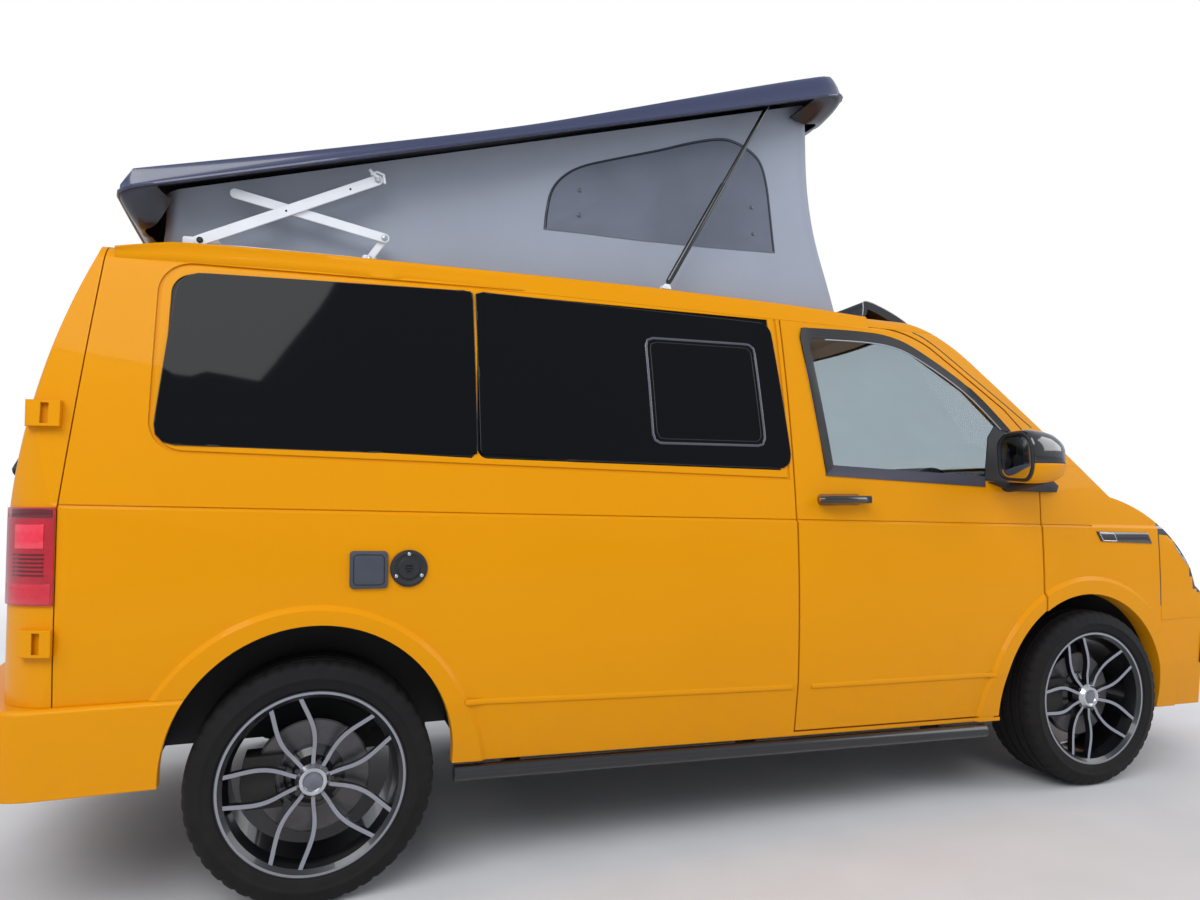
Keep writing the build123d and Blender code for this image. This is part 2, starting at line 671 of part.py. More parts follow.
# Rear bumper: a tray-shaped band round the tail, up to the rear arches
def bumper_form(pull, side_pull):
    """The rear bumper's outline in plan carried up its height."""
    with BuildPart() as form:
        with BuildSketch(top_view(BUMPER_LOW_Z)):
            tail = -REAR_OVERHANG + pull
            side = BODY_HALF - 8 - side_pull
            tail_side = tail + TAIL_BOW_R - sqrt(TAIL_BOW_R ** 2 - side ** 2)
            with BuildLine():
                ThreePointArc((tail_side, side), (tail, 0), (tail_side, -side))
                Polyline((tail_side, -side), (-200, -side), (-200, side), (tail_side, side))
            band = make_face()
            fillet(band.vertices().group_by(Axis.X)[0], 200 - side_pull)
        extrude(amount=BUMPER_TOP_Z - BUMPER_LOW_Z)
    return form.part


with BuildPart() as bumper_flare:
    add(rear_flare.part)
    add(block(-700, -200, -1300, -700, BUMPER_LOW_Z, BUMPER_TOP_Z), mode=Mode.INTERSECT)
with BuildPart() as rear_bumper:
    add(bumper_form(0, 0))
    fillet(rear_bumper.faces().sort_by(Axis.Z)[-1].edges().sort_by(Axis.X)[:-1], BUMPER_EDGE_R)
    add(bumper_flare.part)
    add(other_side(bumper_flare.part))
    add(bumper_form(140, 52), mode=Mode.SUBTRACT)
    for cut in (rear_arch, other_side(rear_arch)):
        add(cut, mode=Mode.SUBTRACT)
    add(block(-300, 0, -1300, 1300, 0, 2000), mode=Mode.SUBTRACT)
finish(rear_bumper.part, "rear_bumper")

# Tail lamps and the rear doors' outside hinges, standing a little proud of the corners
LAMP_PROUD = 7
LAMP_Z = (888, 1150)
HINGE_PROUD = 22
HINGE_X = (-745, SEAM_X - 2)
HINGE_Z = (790, 1404)
HINGE_HALF = 36
HINGE_SLOT_X = (-709, -690)
HINGE_SLOT_HALF = 28
tail_corner = block(-1200, SEAM_X, -1300, -700, 700, 1500)
with BuildPart() as plain_corner:
    add(plain_form)
    add(tail_corner, mode=Mode.INTERSECT)


def corner_layer(proud):
    """What stands out from the body's right rear corner by up to a distance."""
    with BuildPart() as layer:
        add(body_form(-proud, 0))
        add(tail_corner, mode=Mode.INTERSECT)
        add(plain_corner.part, mode=Mode.SUBTRACT)
    return layer.part


lamp_layer = corner_layer(LAMP_PROUD)
hinge_layer = corner_layer(HINGE_PROUD)
with BuildPart() as tail_lamp:
    add(lamp_layer)
    add(block(-1200, SEAM_X - 4, -1300, -REAR_OPENING_Y - 22, *LAMP_Z), mode=Mode.INTERSECT)
finish(Compound(children=[tail_lamp.part, other_side(tail_lamp.part)]), "tail_lamps")
hinges = []
for z in HINGE_Z:
    with BuildPart() as hinge_slot:
        add(hinge_layer)
        add(lamp_layer, mode=Mode.SUBTRACT)
        add(block(*HINGE_SLOT_X, -1300, -700, z - HINGE_SLOT_HALF, z + HINGE_SLOT_HALF), mode=Mode.INTERSECT)
    with BuildPart() as hinge_pod:
        add(hinge_layer)
        add(block(*HINGE_X, -1300, -700, z - HINGE_HALF, z + HINGE_HALF), mode=Mode.INTERSECT)
        add(hinge_slot.part, mode=Mode.SUBTRACT)
    hinges += [hinge_pod.part, other_side(hinge_pod.part)]
finish(Compound(children=hinges), "rear_door_hinges")

# Floor, sills, wheel houses and bulkhead
def falling_slab(x0, x1, half, z0_low, z0_high):
    """A flat slab that falls forward with the body lines."""
    return side_prism([fall(x0, z0_low), fall(x1, z0_low), fall(x1, z0_high), fall(x0, z0_high)],
                      -half, half)


BULKHEAD_X = 2852
JACK_X = (500, 2370)
JACK_Y = 760
JACK_Z = 350
JACK_PAD = 60
rear_liner_r = REAR_ARCH_R + LINER_R_GROWTH
front_liner_r = FRONT_ARCH_R + LINER_R_GROWTH
rear_well = cylinder_y(0, REAR_ARCH_Z, rear_liner_r, 598, OUTSIDE_Y)
front_well = cylinder_y(WHEELBASE - FRONT_ARCH_BACK, FRONT_ARCH_Z, front_liner_r, 478, OUTSIDE_Y)
with BuildPart() as floor_pan:
    add(inner_form)
    add(falling_slab(-845, 2880, 1000, FLOOR_Z - FLOOR_T, FLOOR_Z), mode=Mode.INTERSECT)
    for cut in (rear_well, front_well):
        add(cut, mode=Mode.SUBTRACT)
        add(other_side(cut), mode=Mode.SUBTRACT)
    add(block(BULKHEAD_X, BULKHEAD_X + 28, -470, 470, 380, 1190))
    add(rear_bumper.part, mode=Mode.SUBTRACT)
    for x in JACK_X:
        for side in (-1, 1):
            add(block(x - JACK_PAD / 2, x + JACK_PAD / 2, *sorted((side * JACK_Y - JACK_PAD / 2,
                      side * JACK_Y + JACK_PAD / 2)), JACK_Z, FLOOR_Z - FLOOR_T / 2 - RAKE * x))
    door_side = block(B_PILLAR_X - 4, DOOR_FRONT_X + 14, -OUTSIDE_Y, -865, 0, FLOOR_Z)
    add(door_side, mode=Mode.SUBTRACT)
    add(other_side(door_side), mode=Mode.SUBTRACT)
finish(floor_pan.part, "floor_pan")


def wheel_well(x, z, radius, inner, outer, wall_low):
    """Half-tube over a wheel with an upright wall on its inner side."""
    with BuildPart() as well:
        with BuildSketch(side_view(inner)):
            with Locations((x, z)):
                Circle(radius)
                Circle(radius - LINER, mode=Mode.SUBTRACT)
        extrude(amount=outer - inner)
        with BuildSketch(side_view(inner)):
            with Locations((x, z)):
                Circle(radius)
        extrude(amount=LINER)
        add(block(x - radius - 50, x + radius + 50, -OUTSIDE_Y, 0, 0, wall_low), mode=Mode.SUBTRACT)
        add(inner_form, mode=Mode.INTERSECT)
    return well.part


rear_liner = wheel_well(0, REAR_ARCH_Z, rear_liner_r, 600, 1000, REAR_ARCH_Z + 10)
front_liner = wheel_well(WHEELBASE - FRONT_ARCH_BACK, FRONT_ARCH_Z, front_liner_r, 480, 868,
                         FRONT_ARCH_Z + 95)
finish(Compound(children=[rear_liner, other_side(rear_liner), front_liner, other_side(front_liner)]),
       "arch_liners")

# Wheels: the right-hand one is drawn round its own centre, outer face towards -Y
TYRE_SECTION = [(-108, 265), (-TYRE_WIDTH / 2, 305), (-112, 338), (-94, TYRE_R), (94, TYRE_R), (112, 338),
                (TYRE_WIDTH / 2, 305), (108, 265)]
BARREL_SECTION = [(-116, 265), (-106, 265), (-98, 252), (-60, 240), (60, 240), (98, 252), (106, 265),
                  (116, 265), (116, 255), (100, 243), (60, 230), (-60, 230), (-104, 243), (-116, 255)]
WHEEL_AXIS = Axis((0, 0, 0), (0, 1, 0))


def turned(section):
    """A closed section of (across, radius) points turned about the wheel's axis."""
    with BuildPart() as ring:
        with BuildSketch(Plane.YZ):
            with BuildLine():
                Polyline(*section, close=True)
            make_face()
        revolve(axis=WHEEL_AXIS)
    return ring.part


tyre = turned(TYRE_SECTION)
# Spokes stand in pairs. Columns: radius, distance of a spoke's middle from the pair's own middle line.
SPOKE_LINE = [(44, 15), (75, 27), (110, 41), (145, 48), (190, 47), (246, 42)]
SPOKE_WIDTH = 12
SPOKE_FACE = (-86, -60)
SPOKE_DISH = -20
with BuildSketch() as spoke_pair:
    for turn in (-1, 1):
        with BuildLine():
            low = Spline(*[(r, turn * (off - SPOKE_WIDTH / 2)) for r, off in SPOKE_LINE])
            high = Spline(*[(r, turn * (off + SPOKE_WIDTH / 2)) for r, off in SPOKE_LINE])
            Line(low @ 0, high @ 0)
            Line(low @ 1, high @ 1)
        make_face()
with BuildPart() as spokes:
    with BuildSketch(Plane.XZ.offset(40)):
        with PolarLocations(0, SPOKE_PAIRS, start_angle=SPOKE_START):
            add(spoke_pair.sketch)
    extrude(amount=80)
    add(turned([(SPOKE_FACE[0], 30), (SPOKE_FACE[0] + 4, 90), (SPOKE_FACE[0] + SPOKE_DISH, 250),
                (SPOKE_FACE[0] + SPOKE_DISH + 22, 250), (SPOKE_FACE[1], 90), (SPOKE_FACE[1], 30)]),
        mode=Mode.INTERSECT)
with BuildPart() as rim:
    add(turned(BARREL_SECTION))
    add(turned([(-92, 0), (-92, 30), (-86, 48), (-62, 60), (-40, HUB_R), (-30, HUB_R + 20), (-30, DISC_R),
                (-6, DISC_R), (-6, 70), (10, 70), (10, 0)]))
    add(spokes.part)

WHEEL_Y = TRACK / 2
WHEEL_PLACES = {"rear": 0, "front": WHEELBASE}


def placed(part, x, y, z):
    """A piece moved from the origin to a station."""
    return Pos(ahead(x), y, z) * part


for end, x in WHEEL_PLACES.items():
    for part, name in ((rim.part, "rim"), (tyre, "tyre")):
        finish(placed(part, x, -WHEEL_Y, TYRE_R), f"{name}_{end}_right")
        finish(other_side(placed(part, x, -WHEEL_Y, TYRE_R)), f"{name}_{end}_left")

# Front knuckles: hub, upright, strut with its spring, and brake caliper; drawn round the wheel's centre
DISC_GAP = 5
caliper_blank = turned([(-55, 105), (-55, 200), (35, 200), (35, 105)])
caliper_slot = turned([(-30 - DISC_GAP, 90), (-30 - DISC_GAP, DISC_R + DISC_GAP), (-6 + DISC_GAP, DISC_R + DISC_GAP),
                       (-6 + DISC_GAP, 90)])
with BuildPart() as caliper:
    add(caliper_blank)
    add(caliper_slot, mode=Mode.SUBTRACT)
    with Locations((-150, 0, 0)):
        Box(140, 120, 150, mode=Mode.INTERSECT)
with BuildPart() as hub:
    add(turned([(10.3, 0), (10.3, 62), (60, 62), (60, 0)]))
    with Locations((0, 57, 0)):
        Box(70, 34, 220)
    add(caliper.part)
    with Locations((-75, 42, 0)):
        Box(110, 30, 70)
with BuildPart() as knuckle:
    add(hub.part)
    with Locations((0, 125, 70)):
        Box(56, 130, 76)
    with Locations((0, 174, 215)):
        Cylinder(26, 370)
    with Locations((0, 174, 295)):
        Cylinder(41, 200)
finish(placed(knuckle.part, WHEELBASE, -WHEEL_Y, TYRE_R), "knuckle_right")
finish(other_side(placed(knuckle.part, WHEELBASE, -WHEEL_Y, TYRE_R)), "knuckle_left")

# Front subframe with its lower arms, under the knuckles
ARM_TOP = TYRE_R - 110 - 0.3
with BuildPart() as front_subframe:
    add(block(2830, 3060, -420, 420, 225, 283, 12))
    for side in (-1, 1):
        add(block(2962, 3038, *sorted((side * 400, side * (WHEEL_Y - 39))), ARM_TOP - 24, ARM_TOP, 5))
        add(block(2835, 2878, *sorted((side * 300, side * 380)), 270, FLOOR_Z - FLOOR_T - RAKE * 2878))
finish(front_subframe.part, "front_subframe")

# Rear axle: cross tube, trailing arms, hubs, springs and calipers
with BuildPart() as rear_axle:
    with Locations(Location((ahead(345), 0, 408), (90, 0, 0))):
        Cylinder(28, 1100)
    for side in (-1, 1):
        add(block(-40, 370, *sorted((side * 500, side * 560)), 330, 400, 10))
        add(block(-45, 45, *sorted((side * 500, side * (WHEEL_Y - 30))), 305, 391, 10))
        with Locations((ahead(150), side * 530, FLOOR_Z - FLOOR_T - RAKE * 198 - 30)):
            Cylinder(48, 60)
        add(block(-20, 60, *sorted((side * 440, side * 520)), 380, FLOOR_Z - FLOOR_T - RAKE * 60))
    add(placed(hub.part, 0, -WHEEL_Y, TYRE_R))
    add(other_side(placed(hub.part, 0, -WHEEL_Y, TYRE_R)))
finish(rear_axle.part, "rear_axle")

# Engine and gearbox as one block, with drive shafts and the exhaust
with BuildPart() as powertrain:
    add(block(2985, 3480, -380, 380, 283, 860, 20))
    with Locations(Location((ahead(WHEELBASE), 0, TYRE_R), (90, 0, 0))):
        Cylinder(14, 2 * (WHEEL_Y - 110))
    with Locations(Location((ahead(1400), 180, 318), (0, 90, 0))):
        Cylinder(27, 3500)
    add(block(-740, -340, 20, 360, 262, 400, 30))
finish(powertrain.part, "powertrain")

# Cab inside: dashboard, steering wheel on the right, front seats
with BuildPart() as dashboard:
    with BuildSketch(side_view(-780)):
        with BuildLine():
            Polyline((BULKHEAD_X, 720), (BULKHEAD_X, 1185), (2790, 1215), (2600, 1185),
                     (2520, 1105), (2530, 930),
                     (2650, 860), (2690, 720), close=True)
        face = make_face()
        fillet(face.vertices().sort_by(Axis.X)[:3], 30)
    extrude(amount=1560)
    add(inner_form, mode=Mode.INTERSECT)
    add(front_well, mode=Mode.SUBTRACT)
    add(other_side(front_well), mode=Mode.SUBTRACT)
STEER_CENTRE = (2350, -385, 1105)
STEER_TILT = 38
STEER_R = 185
steer_dir = (-cos(radians(STEER_TILT)), 0, sin(radians(STEER_TILT)))
steer_plane = Plane(origin=(ahead(STEER_CENTRE[0]), STEER_CENTRE[1], STEER_CENTRE[2]), x_dir=(0, 1, 0),
                    z_dir=steer_dir)
with BuildPart() as steering_wheel:
    with BuildSketch(Plane.XZ):
        with Locations((STEER_R, 0)):
            Circle(15)
    revolve(axis=Axis.Z)
    with Locations((0, 0, -18)):
        Cylinder(52, 36)
    with BuildSketch(Plane.XY.offset(-22)):
        Rectangle(2 * STEER_R - 10, 34)
        with Locations((0, -STEER_R / 2)):
            Rectangle(34, STEER_R - 10)
    extrude(amount=12)
COLUMN_START = -36.3
with BuildPart() as column:
    with BuildSketch(steer_plane.offset(COLUMN_START)):
        Circle(34)
    extrude(amount=-260)
with BuildPart() as dash_with_column:
    add(dashboard.part)
    add(column.part)
finish(dash_with_column.part, "dashboard")
finish(steer_plane.location * steering_wheel.part, "steering_wheel")

SEAT_WIDTH = 500
SEAT_Y = 405


def seat(x, y, width, cushion_z, back_height, headrest):
    """A seat on its box: cushion, leaning backrest and headrest in one side view."""
    with BuildPart() as piece:
        with BuildSketch(side_view(-y - width / 2)):
            with BuildLine():
                Polyline(fall(x + 60, FLOOR_Z), fall(x + 460, FLOOR_Z), (x + 470, cushion_z - 130),
                         (x + 545, cushion_z - 110), (x + 555, cushion_z + 15), (x + 130, cushion_z - 15),
                         (x + 40, cushion_z + back_height), (x - 80, cushion_z + back_height + 10),
                         (x - 10, cushion_z - 110), (x + 60, cushion_z - 130), close=True)
            make_face()
        extrude(amount=width)
        if headrest:
            with Locations((ahead(x - 50), y, cushion_z + back_height + 85)):
                Box(85, 250, 170)
    return piece.part


front_seats = [seat(1740, side * SEAT_Y, SEAT_WIDTH, 860, 520, True) for side in (-1, 1)]
finish(Compound(children=front_seats), "front_seats")

# Load space: a bench across the left and middle, a kitchen unit along the right
UNIT_Y = (430, 838)
with BuildPart() as rear_bench:
    with BuildSketch(side_view(-800)):
        with BuildLine():
            Polyline(fall(500, FLOOR_Z), fall(1020, FLOOR_Z), (1020, 760), (1050, 780), (1050, 880), (545, 865),
                     (455, 1300), (375, 1300), (440, 850), (500, 760), close=True)
        make_face()
    extrude(amount=1200)
finish(rear_bench.part, "rear_bench")
with BuildPart() as camper_unit:
    add(side_prism([(-620, 850), (450, 850), fall(450, FLOOR_Z), fall(1500, FLOOR_Z), (1500, 1262), (-620, 1290)],
                   *UNIT_Y))
finish(camper_unit.part, "camper_unit")

# Outside fittings: side bars, hook-up flap and flue, wind deflector
BAR_Y = 900
BAR_R = 25
BAR_Z = 338
BAR_X = (410, 2460)
with BuildPart() as side_bar:
    bar_start = fall(BAR_X[0], BAR_Z)
    bar_plane = Plane(origin=(ahead(bar_start[0]), -BAR_Y, bar_start[1]), z_dir=(1, 0, -RAKE))
    with BuildSketch(bar_plane):
        Circle(BAR_R)
    extrude(amount=BAR_X[1] - BAR_X[0])
    for x in (BAR_X[0] + 170, (BAR_X[0] + BAR_X[1]) / 2, BAR_X[1] - 220):
        bar_z = BAR_Z - RAKE * (x + 25)
        add(block(x, x + 50, -BAR_Y + 10, -BAR_Y + 100, bar_z - 15, bar_z + 15))
        add(block(x, x + 50, -BAR_Y + 55, -BAR_Y + 100, bar_z - 15, FLOOR_Z - FLOOR_T - RAKE * (x + 50)))
finish(Compound(children=[side_bar.part, other_side(side_bar.part)]), "side_bars")
with BuildPart() as flap:
    add(block(90, 200, -BODY_HALF - 15, -BODY_HALF + 40, 900, 1016, 5))
    add(outer_form, mode=Mode.SUBTRACT)
with BuildPart() as flue:
    add(cylinder_y(264, 960, 55, BODY_HALF - 40, BODY_HALF + 15))
    add(outer_form, mode=Mode.SUBTRACT)
finish(Compound(children=[flap.part, flue.part]), "side_fittings")
with BuildPart() as wind_deflector:
    add(side_prism([(2450, 1820), (2185, 1985), (2175, 1975), (2200, 1840)], -600, 600))
    add(outer_form, mode=Mode.SUBTRACT)
finish(wind_deflector.part, "wind_deflector")

# Pop-top roof, drawn shut and then turned open about its rear hinge line
POLE = (-700, 2032.5)
OPEN_ANGLE = 16.8
SHELL_RIM_Z = 1993.3
SHELL_X = (-555, 2090)
SHELL_HALF = 850
SHELL_BOW = 105
SHELL_REAR_BOW = 30
SHELL_CORNER = 160
SHELL_HEIGHT = (95, 130)
SHELL_CROWN = 35
SHELL_WALL = 28
SHELL_LEAN = 13
SHELL_LIP = 20
LIP_OUT = 6
LIP_HEIGHT = 10
SKIRT_WALL = 15
REAR_SKIRT = (110, 49)
FRONT_SKIRT = (58, 119)
REAR_SKIRT_REACH = 175
FRONT_SKIRT_REACH = 136
ROOF_CLEARANCE = 12
shell_taper = (SHELL_HEIGHT[1] - SHELL_HEIGHT[0]) / (SHELL_X[1] - SHELL_X[0])


def shut(x, z):
    """Where a point of the open roof lies, in side view, once the roof is shut."""
    turn = radians(OPEN_ANGLE)
    dx, dz = x - POLE[0], z - POLE[1]
    return (POLE[0] + dx * cos(turn) + dz * sin(turn), POLE[1] - dx * sin(turn) + dz * cos(turn))


def opened(part):
    """A piece of the shut roof turned to its open place."""
    return part.rotate(Axis((ahead(POLE[0]), 0, POLE[1]), (0, 1, 0)), -OPEN_ANGLE)


rim_plane = Plane(origin=(REAR_AXLE, 0, SHELL_RIM_Z), x_dir=(1, 0, -RAKE), z_dir=(RAKE, 0, 1))


def shell_outline(grow, lift=0):
    """The roof's outline in the plane of its rim or lifted from it, grown or pulled in."""
    rear, front, half = SHELL_X[0] - grow, SHELL_X[1] + grow, SHELL_HALF + grow
    with BuildSketch(rim_plane.offset(lift)) as outline:
        with BuildLine():
            ThreePointArc((front - SHELL_BOW, -half), (front, 0), (front - SHELL_BOW, half))
            Line((front - SHELL_BOW, half), (rear + SHELL_REAR_BOW, half))
            ThreePointArc((rear + SHELL_REAR_BOW, half), (rear, 0), (rear + SHELL_REAR_BOW, -half))
            Line((rear + SHELL_REAR_BOW, -half), (front - SHELL_BOW, -half))
        face = make_face()
        fillet(face.vertices(), SHELL_CORNER + grow)
    return outline.sketch


def shell_form(inset):
    """The shut roof: leaning sides above its rim, crowned top and a chamfered rear end."""
    with BuildPart() as form:
        extrude(shell_outline(-inset), amount=300, taper=SHELL_LEAN)
        back = SHELL_X[0] - 200
        edge_z = SHELL_RIM_Z - RAKE * back + SHELL_HEIGHT[0] - 200 * shell_taper - inset
        with BuildSketch(station(back)):
            with BuildLine():
                ThreePointArc((-900, edge_z), (0, edge_z + SHELL_CROWN), (900, edge_z))
                Polyline((900, edge_z), (900, 900), (-900, 900), (-900, edge_z))
            make_face()
        extrude(amount=3300, dir=(1, 0, shell_taper - RAKE), mode=Mode.INTERSECT)
        foot_x = SHELL_X[0] + inset * sqrt(2)
        foot_z = SHELL_RIM_Z - RAKE * SHELL_X[0] + SHELL_LIP
        add(side_prism([(foot_x - 250, foot_z - 250), (foot_x + 250, foot_z + 250), (foot_x - 250, foot_z + 250)],
                       -OUTSIDE_Y, OUTSIDE_Y), mode=Mode.SUBTRACT)
        if inset:
            extrude(shell_outline(-inset), amount=-1200)
    return form.part


def skirt_ring(depth, come_in):
    """A thin skirt hanging from the rim all round, coming in as it goes down."""
    with BuildPart() as ring:
        for inset, mode in ((0, Mode.ADD), (SKIRT_WALL, Mode.SUBTRACT)):
            add(shell_outline(-inset))
            add(shell_outline(-inset - come_in, -depth))
            loft(ruled=True, mode=mode)
    return ring.part


shell_outer = shell_form(0)
shell_inner = shell_form(SHELL_WALL)

# Lift linkage, as seen open. Layers across the vehicle, from the canvas outward:
# rail, outer arm, inner arm, link; each a few millimetres from the next.
RAIL_Y = (745, 765)
ARM_OUTER_Y = (770, 776)
ARM_INNER_Y = (781, 787)
LINK_Y = (792, 798)
STRUT_Y = 800
EYE_HALF = 4
BRACKET_Y = (816, 821)
PIN_GAP = SEAT_GAP
PIN_R = 11
ARM_OUTER = ((-341, 1944), (174, 2189))
ARM_HOLES = ((-100, 2058.7), (90, 2149))
ARM_HOLE_R = 4
ARM_INNER = ((-247, 2101), (198, 2005))
LINK = ((152, 1936), (198, 2005))
STRUT = ((1174, 1916), (1614, 2664))
STRUT_TUBE = 470
STRUT_ENGAGED = 42
STRUT_NECK = 26
STRUT_EYE_R = 14
strut_length = hypot(STRUT[1][0] - STRUT[0][0], STRUT[1][1] - STRUT[0][1])


def flat_bar(ends, height, layer):
    """A flat bar with round ends between two pivots, in its layer on the right."""
    (x0, z0), (x1, z1) = ends
    with BuildPart() as bar:
        with BuildSketch(side_view(layer[0])):
            with Locations(((x0 + x1) / 2, (z0 + z1) / 2)):
                SlotCenterToCenter(hypot(x1 - x0, z1 - z0), height, rotation=degrees(atan2(z1 - z0, x1 - x0)))
        extrude(amount=layer[1] - layer[0])
    return bar.part


with BuildPart() as shell_pieces:
    add(shell_outer)
    extrude(shell_outline(LIP_OUT), amount=LIP_HEIGHT)
    add(shell_inner, mode=Mode.SUBTRACT)
roof_air = Pos(0, 0, ROOF_CLEARANCE) * plain_form
with BuildPart() as rear_skirt:
    add(skirt_ring(*REAR_SKIRT))
    add(block(SHELL_X[0] - 50, SHELL_X[0] + REAR_SKIRT_REACH, -SHELL_HALF, SHELL_HALF, 1800, 2200),
        mode=Mode.INTERSECT)
    add(roof_air, mode=Mode.SUBTRACT)
with BuildPart() as front_skirt:
    add(skirt_ring(*FRONT_SKIRT))
    add(block(SHELL_X[1] - FRONT_SKIRT_REACH, SHELL_X[1] + 50, -SHELL_HALF, SHELL_HALF, 1800, 2200),
        mode=Mode.INTERSECT)
    add(roof_air, mode=Mode.SUBTRACT)
arm_pin = shut(*ARM_INNER[0])
strut_pin = shut(*STRUT[1])
with BuildPart() as roof_brackets:
    add(block(arm_pin[0] - 24, arm_pin[0] + 24, -LINK_Y[1], -LINK_Y[0], arm_pin[1] - 18, 2200))
    add(block(strut_pin[0] - 24, strut_pin[0] + 24, -BRACKET_Y[1], -BRACKET_Y[0], strut_pin[1] - 18, 2200))
    add(shell_form(SHELL_WALL / 2), mode=Mode.INTERSECT)
    add(cylinder_y(*arm_pin, PIN_R, ARM_INNER_Y[1] + PIN_GAP, LINK_Y[0]))
    add(cylinder_y(*strut_pin, PIN_R, STRUT_Y + EYE_HALF + PIN_GAP, BRACKET_Y[0]))
with BuildPart() as roof_shut:
    add(shell_pieces.part)
    add(rear_skirt.part)
    add(front_skirt.part)
    add(roof_brackets.part)
    add(other_side(roof_brackets.part))
finish(opened(roof_shut.part), "roof_shell")

# Rails and brackets on the body's roof
with BuildPart() as rail:
    add(side_prism([(-388, 1850), (205, 1850), (205, 1932), (100, 1935), (90, 1925), (-280, 1940), (-290, 1958),
                    (-388, 1960)], *RAIL_Y))
    add(side_prism([(LINK[0][0] - 22, 1850), (LINK[0][0] + 22, 1850), (LINK[0][0] + 22, 1950),
                    (LINK[0][0] - 22, 1950)], LINK_Y[1] + 5, LINK_Y[1] + 11))
    add(side_prism([(STRUT[0][0] - 24, 1820), (STRUT[0][0] + 24, 1820), (STRUT[0][0] + 24, 1932),
                    (STRUT[0][0] - 24, 1932)], *BRACKET_Y))
    add(outer_form, mode=Mode.SUBTRACT)
    add(cylinder_y(*ARM_OUTER[0], PIN_R, RAIL_Y[1], ARM_OUTER_Y[0] - PIN_GAP))
    add(cylinder_y(*LINK[0], PIN_R, LINK_Y[1] + PIN_GAP, LINK_Y[1] + 5))
    add(cylinder_y(*STRUT[0], PIN_R, STRUT_Y + EYE_HALF + PIN_GAP, BRACKET_Y[0]))
finish(Compound(children=[rail.part, other_side(rail.part)]), "roof_rails")

# Arms, links and gas struts
with BuildPart() as arm_outer:
    add(flat_bar(ARM_OUTER, 28, ARM_OUTER_Y))
    for x, z in ARM_HOLES:
        add(cylinder_y(x, z, ARM_HOLE_R, ARM_OUTER_Y[0] - 1, ARM_OUTER_Y[1] + 1), mode=Mode.SUBTRACT)
with BuildPart() as arm_inner:
    add(flat_bar(ARM_INNER, 24, ARM_INNER_Y))
    add(cylinder_y(*ARM_INNER[1], PIN_R, ARM_INNER_Y[1], LINK_Y[0] - PIN_GAP))
with BuildPart() as link:
    add(flat_bar(LINK, 24, LINK_Y))
strut_dir = ((STRUT[1][0] - STRUT[0][0]) / strut_length, (STRUT[1][1] - STRUT[0][1]) / strut_length)
strut_plane = Plane(origin=(ahead(STRUT[0][0]), -STRUT_Y, STRUT[0][1]), z_dir=(strut_dir[0], 0, strut_dir[1]))
with BuildPart() as strut_cylinder:
    with BuildSketch(strut_plane.offset(STRUT_NECK)):
        Circle(10)
    extrude(amount=STRUT_TUBE - STRUT_NECK)
    with BuildSketch(strut_plane.offset(STRUT_NECK + 16)):
        Circle(7.5)
    extrude(amount=STRUT_TUBE, mode=Mode.SUBTRACT)
    with BuildSketch(strut_plane):
        Circle(EYE_HALF)
    extrude(amount=STRUT_NECK + 8)
    add(cylinder_y(*STRUT[0], STRUT_EYE_R, STRUT_Y - EYE_HALF, STRUT_Y + EYE_HALF))
with BuildPart() as strut_rod:
    with BuildSketch(strut_plane.offset(STRUT_TUBE - STRUT_ENGAGED)):
        Circle(5)
    extrude(amount=strut_length - STRUT_TUBE + STRUT_ENGAGED - STRUT_EYE_R + 2)
    add(cylinder_y(*STRUT[1], STRUT_EYE_R, STRUT_Y - EYE_HALF, STRUT_Y + EYE_HALF))
for part, name in ((arm_outer, "scissor_arms_outer"), (arm_inner, "scissor_arms_inner"), (link, "scissor_links"),
                   (strut_cylinder, "strut_cylinders"), (strut_rod, "strut_rods")):
    finish(Compound(children=[part.part, other_side(part.part)]), name)

# Canvas bellows between the roof panel and the raised shell
CANVAS_Y = 720
CANVAS_T = 8
CANVAS_REAR = ((-457, 1946), (-446, 2100))
CANVAS_FRONT = ((1977, 1916), (1848, 2773))


def along(line, z):
    """The station of a side-view line at a height."""
    (x0, z0), (x1, z1) = line
    return x0 + (x1 - x0) * (z - z0) / (z1 - z0)


with BuildPart() as canvas:
    for thick, mode in ((0, Mode.ADD), (CANVAS_T, Mode.SUBTRACT)):
        corners = [(along(CANVAS_REAR, z) + thick, z) for z in (2900, 1800)]
        corners += [(along(CANVAS_FRONT, z) - thick, z) for z in (1800, 2900)]
        add(side_prism(corners, -CANVAS_Y + thick, CANVAS_Y - thick), mode=mode)
    add(opened(shell_inner), mode=Mode.INTERSECT)
    add(outer_form, mode=Mode.SUBTRACT)
finish(canvas.part, "canvas")
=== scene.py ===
import json
from math import cos, pi, radians, sin

import bmesh
import bpy
from mathutils import Euler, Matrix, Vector, noise
from mathutils.bvhtree import BVHTree

